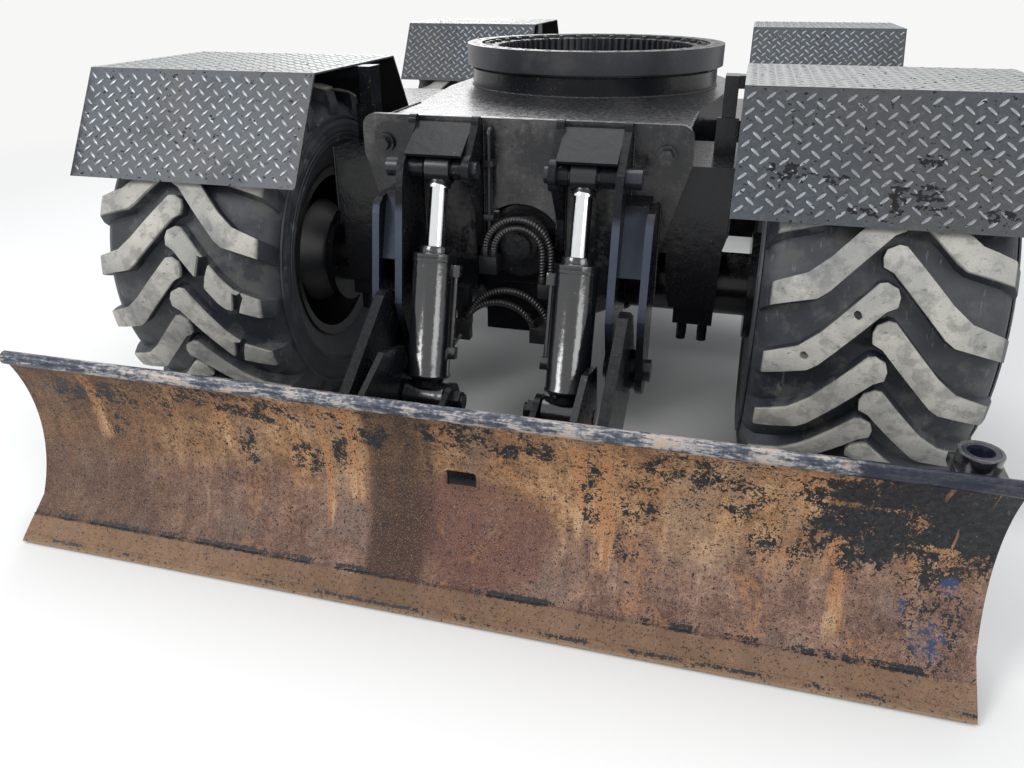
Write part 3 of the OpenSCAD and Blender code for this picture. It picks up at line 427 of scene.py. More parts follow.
def checkerPlate(name, raised=False):
    make, x, y, z = startMaterial(name)
    broad = make.noise(2.6, 3.0)
    fine = make.noise(80.0, 3.0, 0.7)
    grain = make.noise(400.0, 1.0, 0.5)
    soot = make.noise(7.0, 5.0, 0.62).rise(0.50, 0.68) * 0.30
    strokes = make.noise(1.0, 2.0, vector=make.stretched((62.0, 30.0, 100.0)))
    up = make.facing()[2]
    front = 1.0 - y.rise(-1.50, -1.44)
    listed = make.stains(x, z, scuffs).rise(0.0, 1.0) * front
    scuff = (strokes * 0.8 + fine * 0.2 + listed * 0.15).rise(0.625, 0.640)
    edge = (x.size() - 1.31 - fine * 0.12 + (1.05 - z) * 0.12).rise(0.0, 0.04) * (1.0 - x.rise(-0.2, 0.2)) * front
    under = 1.0 - up.rise(-0.3, -0.1)
    colour = make.layers(guardLook["bar"] if raised else guardLook["plate"],
                         (broad.rise(0.35, 0.68) * (0.3 if raised else 1.0), guardLook["worn"]),
                         (fine.rise(0.45, 0.75) * 0.35, guardLook["bare"]),
                         (soot, (0.048, 0.051, 0.058)),
                         (up.rise(0.86, 0.97) * (0.55 + fine * 0.5), guardLook["top"]),
                         (scuff + edge * 0.75, guardLook["black"]),
                         (under, (0.012, 0.012, 0.013)))
    roughness = ((0.26 if raised else 0.38) + fine * 0.25 + scuff * 0.15 + soot * 0.2 + under * 0.1).clamp()
    metallic = ((0.55 - scuff * 0.5) * (1.0 - under)).clamp()
    return make.finish(colour, roughness, metallic, fine * 0.3 + grain * 0.1, 0.0008, 1.32)


# chrome along the rod, black paint on its eye
def chromeRod(name, middle):
    make, x, y, z = startMaterial(name)
    fine = make.noise(120.0, 4.0, vector=make.stretched((1.0, 1.0, 0.15)))
    apart = ((y - middle.y) * (y - middle.y) + (z - middle.z) * (z - middle.z)) ** 0.5
    painted = 1.0 - apart.rise(0.0560, 0.0565)
    colour = make.layers((0.80, 0.82, 0.84), (fine.rise(0.4, 0.8) * 0.3, (0.58, 0.60, 0.63)),
                         (painted, (0.010, 0.011, 0.013)))
    return make.finish(colour, (0.07 + fine * 0.10 + painted * 0.12).clamp(), 1.0 - painted)


def darkSteel(name, base, roughBase, metallic, dust=0.3):
    make = Maker(bpy.data.materials.new(name))
    fine = make.noise(90.0, 5.0, 0.65)
    up = make.facing()[2].rise(0.4, 0.9)
    film = (make.noise(9.0, 5.0).rise(0.45, 0.7) * dust + up * dust * fine).clamp()
    colour = make.layers(base, (fine.rise(0.4, 0.8) * 0.4, tuple(value * 1.7 for value in base)),
                         (film, (0.17, 0.145, 0.12)))
    return make.finish(colour, (roughBase + film * 0.4 + fine * 0.1).clamp(), metallic, fine * 0.3, 0.0008)


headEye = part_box("rod_left")[1] - Vector((0.0, 0.042, 0.042))
paints = {
    "dusty": blackPaint("dustyPaint", 0.62, 0.25, withPatches=True),
    "light": blackPaint("lightDustPaint", 0.13, 0.03, 0.24, 1.28, paintedEdgeGlint=True),
    "dark": blackPaint("darkPaint", 0.12, 0.12, 0.20, 1.42),
    "glossy": blackPaint("glossPaint", 0.04, 0.03, 0.12, 1.78),
    "cup": blackPaint("cupPaint", 0.05, 0.10, 0.14, 1.9),
    "blade": bladeRust("bladeRust"),
    "plate": checkerPlate("checkerPlate"),
    "bar": checkerPlate("checkerBar", True),
    "chrome": chromeRod("chromeRod", headEye),
    "ring": darkSteel("ringSteel", (0.040, 0.043, 0.050), 0.30, 0.55, 0.18),
    "pin": darkSteel("pinSteel", (0.026, 0.029, 0.036), 0.22, 0.5, 0.08),
    "bolt": darkSteel("boltSteel", (0.016, 0.017, 0.020), 0.30, 0.3, 0.18),
    "rim": darkSteel("rimPaint", (0.0070, 0.0078, 0.0105), 0.40, 0.0, 0.10),
    "hose": darkSteel("hoseGuard", (0.030, 0.030, 0.032), 0.26, 0.4, 0.10),
    "weld": blackPaint("weldPaint", 0.20, 0.15, 0.22),
}
bySlot = {"chassis_paint": "dark", "blade_steel": "blade", "checker_plate": "plate", "chrome_rod": "chrome",
          "pin_steel": "pin", "rim_paint": "rim", "hose_rubber": "hose", "cylinder_paint": "glossy",
          "ring_steel": "ring"}
byNode = {"blade_bracket_left": "light", "blade_bracket_right": "light", "push_arms": "light",
          "end_plate": "dusty"}


def wear(thing, material):
    thing.data.materials.clear()
    thing.data.materials.append(material)


tyrePaints = {}
for nodeName, thing in nodes.items():
    if nodeName.startswith("tyre"):
        tyrePaints[nodeName] = tyreRubber(nodeName + "Rubber", jointPlace(nodeName.replace("tyre", "roll")))
        wear(thing, tyrePaints[nodeName])
    else:
        wear(thing, paints[byNode.get(nodeName, bySlot[slots[nodeName]])])
print("materials on the frame's pieces")


# a Geometry Nodes tree with named inputs, run once and kept as a plain mesh
class Net:
    def __init__(self, name, inputs):
        self.tree = bpy.data.node_groups.new(name, "GeometryNodeTree")
        face = self.tree.interface
        face.new_socket(name="Geometry", in_out="INPUT", socket_type="NodeSocketGeometry")
        self.keys = {}
        for label, (kind, value) in inputs.items():
            socket = face.new_socket(name=label, in_out="INPUT", socket_type="NodeSocket" + kind)
            if value is not None:
                socket.default_value = value
            self.keys[label] = socket.identifier
        face.new_socket(name="Geometry", in_out="OUTPUT", socket_type="NodeSocketGeometry")
        self.start = self.tree.nodes.new("NodeGroupInput")
        self.end = self.tree.nodes.new("NodeGroupOutput")

    def __getitem__(self, label):
        return self.start.outputs[label]

    def feed(self, socket, value):
        if isinstance(value, bpy.types.NodeSocket):
            self.tree.links.new(value, socket)
        else:
            socket.default_value = value

    def add(self, kind, inputs=None, settings=None):
        node = self.tree.nodes.new(kind)
        for key, value in (settings or {}).items():
            setattr(node, key, value)
        for key, value in (inputs or {}).items():
            for one in value if isinstance(value, list) else [value]:
                self.feed(node.inputs[key], one)
        return node.outputs[0]

    def calc(self, operation, first, second):
        return self.add("ShaderNodeMath", {0: first, 1: second}, {"operation": operation})

    def times(self, label, share):
        return self.calc("MULTIPLY", self[label], share)

    def less(self, value, other):
        return self.calc("SUBTRACT", value, other)

    def lifted(self, geometry, height):
        return self.add("GeometryNodeTransform", {
            0: geometry, "Translation": self.add("ShaderNodeCombineXYZ", {2: height})})

    # the last nodes: real geometry with its material
    def close(self, points, instance, **more):
        copies = self.add("GeometryNodeInstanceOnPoints", {"Points": points, "Instance": instance, **more})
        self.finish(copies)

    def finish(self, geometry):
        real = self.add("GeometryNodeRealizeInstances", {0: geometry})
        self.feed(self.end.inputs[0], self.add("GeometryNodeSetMaterial", {0: real, "Material": self["Material"]}))

    def run(self, values, mesh=None):
        holder = placed("holder", mesh or bpy.data.meshes.new("seed"))
        modifier = holder.modifiers.new("build", "NODES")
        modifier.node_group = self.tree
        for label, value in values.items():
            modifier[self.keys[label]] = value
        return shapedMesh([holder])


# the first object's mesh with its modifiers applied; all the objects are then removed
def shapedMesh(things):
    shaped = things[0].evaluated_get(bpy.context.evaluated_depsgraph_get())
    made = bpy.data.meshes.new_from_object(shaped)
    for thing in things:
        bpy.data.objects.remove(thing)
    return made


# rows of raised bars, each row's bars leaning one way and those between them the other
def barNet():
    net = Net("checkerBars", {"Columns": ("Int", 16), "Rows": ("Int", 9), "Across": ("Float", 0.049),
                              "Along": ("Float", 0.040), "Length": ("Float", 0.031), "Width": ("Float", 0.0092),
                              "Height": ("Float", 0.0026), "Lean": ("Float", 0.75), "Material": ("Material", None)})
    ball = net.add("GeometryNodeMeshUVSphere", {"Segments": 6, "Rings": 4, "Radius": 1.0})
    size = net.add("ShaderNodeCombineXYZ", {0: net.calc("DIVIDE", net["Length"], 2.0),
                                            1: net.calc("DIVIDE", net["Width"], 2.0), 2: net["Height"]})
    laid = net.add("GeometryNodeTransform", {0: ball, "Rotation": (0.0, math.pi / 2, 0.0)})
    bar = net.add("GeometryNodeSetShadeSmooth", {0: net.add("GeometryNodeTransform", {0: laid, "Scale": size})})
    parts = []
    for turn, fewer in ((1, 0), (-1, 1)):
        columns, rows = net.less(net["Columns"], fewer), net.less(net["Rows"], fewer)
        grid = net.add("GeometryNodeMeshGrid", {
            "Size X": net.times("Across", net.less(columns, 1.0)), "Size Y": net.times("Along", net.less(rows, 1.0)),
            "Vertices X": columns, "Vertices Y": rows})
        lean = net.add("ShaderNodeCombineXYZ", {2: net.times("Lean", turn)})
        parts.append(net.add("GeometryNodeInstanceOnPoints", {"Points": grid, "Instance": bar, "Rotation": lean}))
    net.finish(net.add("GeometryNodeJoinGeometry", {0: parts}))
    return net


# bolt heads with washers round a circle
def boltNet():
    net = Net("boltHeads", {"Count": ("Int", 8), "Circle": ("Float", 0.1), "Head": ("Float", 0.012),
                            "Height": ("Float", 0.010), "Material": ("Material", None)})
    washer = net.add("GeometryNodeMeshCylinder", {"Vertices": 16, "Radius": net.times("Head", 1.3),
                                                  "Depth": net.times("Height", 0.5)})
    nut = net.add("GeometryNodeMeshCylinder", {"Vertices": 6, "Radius": net["Head"], "Depth": net["Height"]})
    tip = net.add("GeometryNodeMeshCone", {
        "Vertices": 12, "Radius Top": net.times("Head", 0.45), "Radius Bottom": net.times("Head", 0.82),
        "Depth": net.times("Height", 0.22)})
    bolt = net.add("GeometryNodeJoinGeometry", {0: [washer, net.lifted(nut, net.times("Height", 0.7)),
                                                    net.lifted(tip, net.times("Height", 1.2))]})
    ring = net.add("GeometryNodeMeshCircle", {"Vertices": net["Count"], "Radius": net["Circle"]})
    turned = net.add("FunctionNodeRandomValue", {"Min": (0.0, 0.0, 0.0), "Max": (0.0, 0.0, 3.1), "Seed": 5},
                     {"data_type": "FLOAT_VECTOR"})
    net.close(net.add("GeometryNodeMeshToPoints", {0: ring}), bolt, Rotation=turned)
    return net


# a weld: flat drops laid close together along the edges of a given mesh
def weldNet():
    net = Net("weldBead", {"Step": ("Float", 0.0045), "Width": ("Float", 0.006), "Seed": ("Int", 3),
                           "Material": ("Material", None)})
    path = net.add("GeometryNodeMeshToCurve", {0: net["Geometry"]})
    path = net.add("GeometryNodeResampleCurve", {"Curve": path, "Length": net["Step"]}, {"mode": "LENGTH"})
    drop = net.add("GeometryNodeSetShadeSmooth", {
        0: net.add("GeometryNodeMeshIcoSphere", {"Radius": net["Width"], "Subdivisions": 2})})
    size = net.add("FunctionNodeRandomValue", {"Min": (0.62, 0.62, 0.62), "Max": (0.92, 0.92, 0.92),
                                               "Seed": net["Seed"]}, {"data_type": "FLOAT_VECTOR"})
    net.close(net.add("GeometryNodeCurveToPoints", {0: path}, {"mode": "EVALUATED"}), drop, Scale=size)
    return net


bars, bolts, welds = barNet(), boltNet(), weldNet()


# meshes that make up one piece are gathered, then it rides on its body
def addPiece(name, parts, material, body, replaced=(), sharp=38):
    gathered = bmesh.new()
    for mesh, matrix in parts:
        mesh.transform(matrix)
        if matrix.determinant() < 0:
            mesh.flip_normals()
        gathered.from_mesh(mesh)
    mesh = settled(gathered, name)
    for face in mesh.polygons:
        face.use_smooth = True
    mesh.set_sharp_from_angle(angle=math.radians(sharp))
    piece = placed(name, mesh)
    wear(piece, material)
    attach(piece, body)
    if replaced:
        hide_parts(*replaced)


# a frame with its Z along the given direction
def standing(place, direction):
    return Matrix.Translation(place) @ Vector(direction).to_track_quat("Z", "Y").to_matrix().to_4x4()


def pathMesh(lines):
    points, edges = [], []
    for line in lines:
        first = len(points)
        points.extend(line)
        edges.extend((place, place + 1) for place in range(first, len(points) - 1))
    return listedMesh("path", points, [], edges)


# mudguards: bars on the outer faces of each folded sheet
guard = {"inner": 0.618, "outer": 1.400, "foot": 0.497, "low": 0.343, "shoulder": 0.304, "high": 0.646,
         "across": 0.0495, "along": 0.0435, "margin": 0.012}


def guardBars(place, body, side):
    axle = jointPlace("roll_" + place)
    folds = [(-guard["foot"], guard["low"]), (-guard["shoulder"], guard["high"]), (guard["shoulder"], guard["high"]),
             (guard["foot"], guard["low"])]
    columns, parts = int((guard["outer"] - guard["inner"] - guard["margin"]) / guard["across"]) + 1, []
    for (y0, z0), (y1, z1) in zip(folds, folds[1:]):
        long = math.hypot(y1 - y0, z1 - z0)
        sheet = bars.run({"Columns": columns, "Rows": int((long - guard["margin"]) / guard["along"]) + 1,
                          "Across": guard["across"], "Along": guard["along"], "Material": paints["bar"]})
        along = Vector((0.0, y1 - y0, z1 - z0)) / long
        middle = axle + Vector((0.0, (y0 + y1) / 2, (z0 + z1) / 2))
        middle.x = side * (guard["inner"] + guard["outer"]) / 2
        turn = Matrix(((side, 0.0, 0.0), along, (0.0, -along.z, along.y))).transposed().to_4x4()
        parts.append((sheet, Matrix.Translation(middle) @ turn))
    addPiece("bars_" + place, parts, paints["bar"], body)


for sideName, side in sides:
    guardBars("rigid_" + sideName, "chassis", side)
    guardBars("steer_" + sideName, "knuckle_" + sideName, side)
print("checker bars on four mudguards")

# tyres: the lugs' edges are rounded, and some lugs of the blade's end are torn
# inward side, nose's angle, place across, width across, length down, depth, in degrees and millimetres
tearing = {"rigid_left": [(-1, 19.7, 90, 54, 140, 40), (-1, 19.7, 198, 44, 140, 34), (-1, -0.1, 166, 46, 140, 34)],
           "rigid_right": [(-1, 23.0, 66, 26, 26, 14), (-1, 23.0, 180, 30, 26, 14)]}
tearOutline = {"ragged": ((-0.5, -0.5), (-0.15, -0.42), (0.2, -0.5), (0.5, -0.4), (0.42, 0.0), (0.5, 0.45),
                          (0.1, 0.5), (-0.3, 0.42), (-0.5, 0.5), (-0.4, 0.05)),
               "rounded": [(0.5 * math.cos(0.7 * step), 0.5 * math.sin(0.7 * step)) for step in range(9)],
               "longFrom": 100, "shear": 0.30, "floorWide": 0.72, "floorTall": 0.9}
tyreSize = {"track": 1.025, "pitchRadius": 0.583, "outer": 0.585, "clear": 0.61, "round": 0.0045}
# raised rings on the walls: radius and distance; their section is (rise, distance)
ringBands = [(0.398, 0.3115), (0.415, 0.3135), (0.470, 0.3105)]
ringSection = ((-0.006, -0.004), (-0.003, 0.0018), (0.003, 0.0018), (0.006, -0.004))


# a lug's two edges, in millimetres across from its nose and behind it
lugEdges = {"near": ((26, 3), (148, 138), (198, 180)), "far": ((-3, 71), (143, 225))}


def behindNose(across, first, second):
    return first[1] + (across - first[0]) / (second[0] - first[0]) * (second[1] - first[1])


def lugMiddle(across):
    nose, bend, end = lugEdges["near"]
    near = behindNose(across, nose, bend) if across < bend[0] else behindNose(across, bend, end)
    return (near + behindNose(across, *lugEdges["far"])) / 2


def tearCutter(side, inward, nose, across, wide, tall, deep, seed):
    rand = random.Random(seed)
    angle = math.radians(nose) - lugMiddle(across) / 1000 / tyreSize["pitchRadius"]
    out = Vector((0.0, -math.cos(angle), math.sin(angle)))
    down = Vector((0.0, -math.sin(angle), -math.cos(angle)))
    outline = []
    for first, second in tearOutline["ragged" if tall > tearOutline["longFrom"] else "rounded"]:
        u = (first + rand.uniform(-0.08, 0.08)) * wide / 1000
        v = (second + rand.uniform(-0.04, 0.04)) * tall / 1000
        outline.append((u - v * tearOutline["shear"], v))
    points, count = [], len(outline)
    floor = (tyreSize["outer"] - deep / 1000, tearOutline["floorWide"], tearOutline["floorTall"])
    for height, wider, taller in (floor, (tyreSize["clear"], 1.0, 1.0)):
        for u, v in outline:
            x = side * (tyreSize["track"] + inward * (across / 1000 + u * wider))
            points.append(Vector((x, 0.0, 0.0)) + out * height + down * v * taller)
    faces = [tuple(range(count))[::-1], tuple(range(count, 2 * count))]
    faces += [(place, (place + 1) % count, (place + 1) % count + count, place + count) for place in range(count)]
    return listedMesh("tear", points, faces)


def wallRings(centre, steps=96):
    rings, lanes = [], len(ringSection)
    for radius, wall in ringBands:
        for face in (-1, 1):
            points, faces = [], []
            for step in range(steps):
                angle = 2 * math.pi * step / steps
                points += [(centre.x + face * (wall + off), centre.y + (radius + rise) * math.cos(angle),
                            centre.z + (radius + rise) * math.sin(angle)) for rise, off in ringSection]
                here, ahead = step * lanes, (step + 1) % steps * lanes
                for lane in range(lanes):
                    other = (lane + 1) % lanes
                    quad = (here + lane, here + other, ahead + other, ahead + lane)
                    faces.append(quad if face < 0 else quad[::-1])
            rings.append((listedMesh("ring", points, faces), still))
    return rings


def makeTyre(place):
    nodeName, centre = "tyre_" + place, jointPlace("roll_" + place)
    shell = bmesh.new()
    shell.from_mesh(nodes[nodeName].data)
    bmesh.ops.remove_doubles(shell, verts=shell.verts, dist=0.00005)
    bmesh.ops.dissolve_limit(shell, angle_limit=math.radians(0.6), verts=shell.verts, edges=shell.edges)
    things = [placed("holder", settled(shell, "tyre", nodes[nodeName].data.copy()))]
    for number, tear in enumerate(tearing.get(place, [])):
        mesh = tearCutter(math.copysign(1, centre.x), *tear, number)
        mesh.transform(Matrix.Translation((0.0, centre.y, centre.z)))
        things.append(placed("cutter", facedOut(mesh)))
        cut = things[0].modifiers.new("cut", "BOOLEAN")
        cut.operation, cut.object, cut.solver = "DIFFERENCE", things[-1], "EXACT"
    bevel = things[0].modifiers.new("round", "BEVEL")
    bevel.width, bevel.segments, bevel.limit_method = tyreSize["round"], 2, "ANGLE"
    bevel.angle_limit = math.radians(38)
    made = shapedMesh(things)
    addPiece("rubber_" + place, [(made, still)] + wallRings(centre), tyrePaints[nodeName], "wheel_" + place,
             [nodeName])
    print("tyre", place, len(made.polygons), "faces")


for place in wheels:
    makeTyre(place)

# hoses with a spiral guard, steel pipe, fittings and blocks in front of the end plate
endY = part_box("chassis_frame")[0].y - 0.025
hoseSize = {"radius": 0.0093, "ridge": 0.0025, "pitch": 0.0095, "sides": 14, "step": 0.0016}
# two hoses arch over the bearing cap and two more hang below it: middle, radius, and the angles of their ends
arches = {"out": 0.050, "x": 0.005, "z": 0.726, "radii": (0.078, 0.105)}
lowHoses = {"out": 0.060, "arcs": [(-0.0254, 0.4685, 0.1375, 12, 168), (-0.0544, 0.4385, 0.1273, 26, 160)]}
pipe = {"x": -0.090, "out": 0.030, "radius": 0.0075, "top": 1.070, "bend": 0.015}
# profiles of the turned fittings: radius, height
fitting = {"arch": [(0.0135, 0.0), (0.0135, 0.010), (0.0125, 0.011), (0.0125, 0.020), (0.0115, 0.022)],
           "low": [(0.0115, -0.012), (0.0125, -0.006), (0.0130, 0.0), (0.0130, 0.012), (0.0095, 0.014),
                   (0.0095, 0.040)],
           "pipe": [(0.0125, 0.0), (0.0125, 0.016), (0.010, 0.019)],
           "lever": [(0.009, 0.0), (0.009, 0.014), (0.005, 0.016), (0.005, 0.055), (0.007, 0.058), (0.003, 0.064)]}


# a tube along a line; its radius depends on the angle round it and the distance along it
def sweep(points, radiusAt, count):
    mesh = bmesh.new()
    rings, normal, travelled = [], None, 0.0
    for place, point in enumerate(points):
        before, after = points[max(place - 1, 0)], points[min(place + 1, len(points) - 1)]
        tangent = (after - before).normalized()
        travelled += (point - before).length
        normal = normal or tangent.orthogonal().normalized()
        normal = (normal - tangent * normal.dot(tangent)).normalized()
        other = tangent.cross(normal)
        ring = []
        for step in range(count):
            angle = 2 * math.pi * step / count
            outward = normal * math.cos(angle) + other * math.sin(angle)
            ring.append(mesh.verts.new(point + outward * radiusAt(angle, travelled)))
        rings.append(ring)
    return settled(skinned(mesh, rings), "sweep")


# faces between rings of equal count, closed at both ends or looped back to the first ring
def skinned(mesh, rings, looped=False):
    for first, second in zip(rings, rings[1:] + rings[:1] if looped else rings[1:]):
        for step in range(len(first)):
            ahead = (step + 1) % len(first)
            mesh.faces.new((first[step], first[ahead], second[ahead], second[step]))
    if not looped:
        mesh.faces.new(rings[0][::-1])
        mesh.faces.new(rings[-1])
    return mesh


def spaced(points, step):
    fine = [points[0]]
    for first, second in zip(points, points[1:]):
        count = max(1, round((second - first).length / step))
        fine += [first.lerp(second, number / count) for number in range(1, count + 1)]
    return fine


def arc(x, z, radius, start, end, y, count=40):
    angles = [math.radians(start + (end - start) * number / count) for number in range(count + 1)]
    return [Vector((x + radius * math.cos(angle), y, z + radius * math.sin(angle))) for angle in angles]


def spiralHose(points):
    def radiusAt(angle, travelled):
        wave = math.cos(angle - 2 * math.pi * travelled / hoseSize["pitch"])
        return hoseSize["radius"] + hoseSize["ridge"] * max(0.0, wave) ** 0.7
    return sweep(spaced(points, hoseSize["step"]), radiusAt, hoseSize["sides"]), still


# a profile of radius and height turned round an axis; a looped one closes on itself, such as an eye with its bore
def turned(place, direction, profile, count=24, looped=False):
    mesh = bmesh.new()
    angles = [2 * math.pi * step / count for step in range(count)]
    rings = [[mesh.verts.new((radius * math.cos(angle), radius * math.sin(angle), height)) for angle in angles]
             for radius, height in profile]
    return settled(skinned(mesh, rings, looped), "turned"), standing(place, direction)


def roundedBlock(low, high, edge=0.003):
    mesh = bmesh.new()
    bmesh.ops.create_cube(mesh, size=1.0)
    for vert in mesh.verts:
        vert.co = Vector([low[axis] + (vert.co[axis] + 0.5) * (high[axis] - low[axis]) for axis in range(3)])
    bmesh.ops.bevel(mesh, geom=mesh.edges[:], offset=edge, segments=2, affect="EDGES", profile=0.6)
    return settled(mesh, "block"), still


def makeHoses():
    topY, lowY, pipeY = endY - arches["out"], endY - lowHoses["out"], endY - pipe["out"]
    archX, archZ, skin = arches["x"], arches["z"], endY - 0.0003
    rubber, steel = [], []
    for radius in arches["radii"]:
        right, left = archX + radius, archX - radius
        line = [Vector((right, topY, archZ - 0.086))] + arc(archX, archZ, radius, 0, 180, topY)
        rubber.append(spiralHose(line + [Vector((left, topY, archZ - 0.004))]))
        steel += [turned((x, topY, z), (0, 0, 1), fitting["arch"]) for x, z in ((right, archZ - 0.090),
                                                                              (left, archZ - 0.014))]
    for x, z, radius, start, end in lowHoses["arcs"]:
        rubber.append(spiralHose(arc(x, z, radius, start, end, lowY)))
        for angle, lean in ((start, -1), (end, 1)):
            tip = arc(x, z, radius, angle, angle, lowY, 1)[0]
            direction = Vector((math.sin(math.radians(angle)) * -lean, 0, math.cos(math.radians(angle)) * lean))
            steel.append(turned(tip - direction * 0.006, direction * -1.0, fitting["low"]))
    # manifolds and brackets: two corners and the rounding of their edges
    steel += [roundedBlock(*block) for block in (
        ((-0.118, topY - 0.014, archZ - 0.070), (-0.060, endY - 0.0103, archZ - 0.014)),
        ((0.070, topY - 0.014, archZ - 0.136), (0.120, endY + 0.0297, archZ - 0.090)),
        ((-0.205, lowY - 0.014, 0.430), (-0.150, lowY + 0.020, 0.492)),
        ((-0.200, lowY + 0.014, 0.465), (-0.160, skin, 0.600), 0.002),
        ((0.048, lowY - 0.014, 0.442), (0.128, endY + 0.0297, 0.495)))]
    bend = [(pipe["bend"] * (1 - math.cos(step / 5 * math.pi / 2)), pipe["bend"] * math.sin(step / 5 * math.pi / 2))
            for step in range(6)]
    line = [Vector((pipe["x"], pipeY, archZ - 0.016))]
    line += [Vector((pipe["x"], pipeY + back, pipe["top"] + up)) for back, up in bend]
    line.append(Vector((pipe["x"], skin, pipe["top"] + pipe["bend"])))
    steel.append((sweep(line, lambda angle, travelled: pipe["radius"], 16), still))
    steel.append(turned(line[0], (0, 0, 1), fitting["pipe"]))
    steel += [roundedBlock((pipe["x"] - 0.016, endY - 0.0425, z), (pipe["x"] + 0.016, skin, z + 0.018), 0.002)
              for z in (0.82, 0.98)]
    # lever of the drain on the bracket
    steel.append(turned((-0.180, lowY - 0.012, 0.448), (-0.35, -0.5, -0.6), fitting["lever"]))
    addPiece("hose_guards", rubber, paints["hose"], "chassis", ["blade_hoses"], 75)
    addPiece("hose_fittings", steel, paints["bolt"], "chassis", ["blade_hoses"])


makeHoses()
print("hoses made")

# blade cylinders, turned round the line from the foot pin to the head pin: lengths in metres from the foot
cylinder = {"across": 0.215, "foot": (-1.723, 0.330), "head": (-1.522, 0.983), "tube": 0.064, "rod": 0.027,
            "bore": 0.0275, "gland": 0.439, "length": 0.459, "rodStart": 0.200, "pinBore": 0.0255, "headBore": 0.031,
            "footEye": (0.052, 0.064), "headEye": (0.042, 0.037)}
# the pipe beside each barrel, from one distance for a length, and the blocks that hold it with two bolts each
barrelPipe = {"out": -0.070, "radius": 0.008, "from": 0.150, "length": 0.250, "blocks": (0.1285, 0.3735),
              "block": ((-0.0145, -0.0155, 0.0), (0.0115, 0.0155, 0.0355), 0.0025), "bolts": (-0.0085, 0.0085),
              "boltUp": 0.018, "bolt": [(0.0045, -0.001), (0.0045, 0.0), (0.0042, 0.0008)]}


def alongCylinder(side, distance, out=0.0):
    (y0, z0), (y1, z1) = cylinder["foot"], cylinder["head"]
    share = distance / math.hypot(y1 - y0, z1 - z0)
    return Vector((side * (cylinder["across"] + out), y0 + (y1 - y0) * share, z0 + (z1 - z0) * share))


def eye(middle, outer, bore, half):
    edge = 0.002
    profile = [(bore, -half), (outer - edge, -half), (outer, -half + edge),
               (outer, half - edge), (outer - edge, half), (bore, half)]
    return turned(middle, (1, 0, 0), profile, 64, True)


def makeCylinder(sideName, side):
    (y0, z0), (y1, z1) = cylinder["foot"], cylinder["head"]
    start, lean = alongCylinder(side, 0.0), alongCylinder(side, 1.0) - alongCylinder(side, 0.0)
    tube, gland, bore, long = cylinder["tube"], cylinder["gland"], cylinder["bore"], cylinder["length"]
    pipeLine = [(barrelPipe["radius"], 0.0), (barrelPipe["radius"], barrelPipe["length"])]
    profile = [(0.048, 0.038), (0.048, 0.055), (tube - 0.003, 0.068), (tube + 0.002, 0.069), (tube + 0.003, 0.071),
               (tube + 0.003, 0.077), (tube, 0.081), (tube, 0.4125), (tube + 0.0015, 0.413), (tube + 0.002, 0.415),
               (tube + 0.002, 0.424), (tube + 0.0008, 0.425), (tube + 0.0008, 0.427), (tube + 0.002, 0.428),
               (tube + 0.002, 0.436), (tube, 0.438), (0.050, gland), (0.046, gland + 0.001), (0.046, gland + 0.0175),
               (0.0445, long), (0.034, long), (0.033, long - 0.0015), (0.0300, long - 0.0015), (0.0295, long),
               (bore, long), (bore, 0.100)]
    barrel = [turned(start, lean, profile, 72),
              eye(start, cylinder["footEye"][0], cylinder["pinBore"], cylinder["footEye"][1]),
              turned(alongCylinder(side, barrelPipe["from"], barrelPipe["out"]), lean, pipeLine)]
    for level in barrelPipe["blocks"]:
        block = roundedBlock(*barrelPipe["block"])[0]
        middle = alongCylinder(side, level, barrelPipe["out"])
        tilt = Matrix.Rotation(-math.atan2(lean.y, lean.z), 4, "X")
        barrel.append((block, Matrix.Translation(middle) @ tilt @ Matrix.Scale(side, 4, (1, 0, 0))))
        outside = Vector((side * barrelPipe["block"][0][0], 0.0, 0.0))
        for off in barrelPipe["bolts"]:
            place = middle + outside + lean.normalized() * (barrelPipe["boltUp"] + off)
            barrel.append(turned(place, (-side, 0, 0), barrelPipe["bolt"], 6))
    addPiece("barrel_tube_" + sideName, barrel, paints["glossy"], "cylinder_" + sideName,
             ["barrel_" + sideName])
    rodEnd = alongCylinder(side, math.hypot(y1 - y0, z1 - z0))
    rod = [turned(start, lean, [(cylinder["rod"], cylinder["rodStart"]), (cylinder["rod"], 0.628), (0.0345, 0.6285),
                                (0.0345, 0.640), (0.030, 0.646), (0.030, 0.6515)], 64),
           eye(rodEnd, cylinder["headEye"][0], cylinder["headBore"], cylinder["headEye"][1])]
    addPiece("rod_chrome_" + sideName, rod, paints["chrome"], "piston_" + sideName, ["rod_" + sideName])


for sideName, side in sides:
    makeCylinder(sideName, side)
print("blade cylinders made")

# wear strip on the edge plate, up to the seam; its section is (distance up the plate, height off it)
edgeStrip = {"angle": 38.0, "tip": 0.008, "half": 1.2725, "steps": 150, "ragged": 0.0009,
             "section": ((0.005, -0.001), (0.008, 0.0032), (0.024, 0.0040), (0.0255, 0.0026), (0.028, 0.0040),
                         (0.0835, 0.0040), (0.0865, -0.001))}


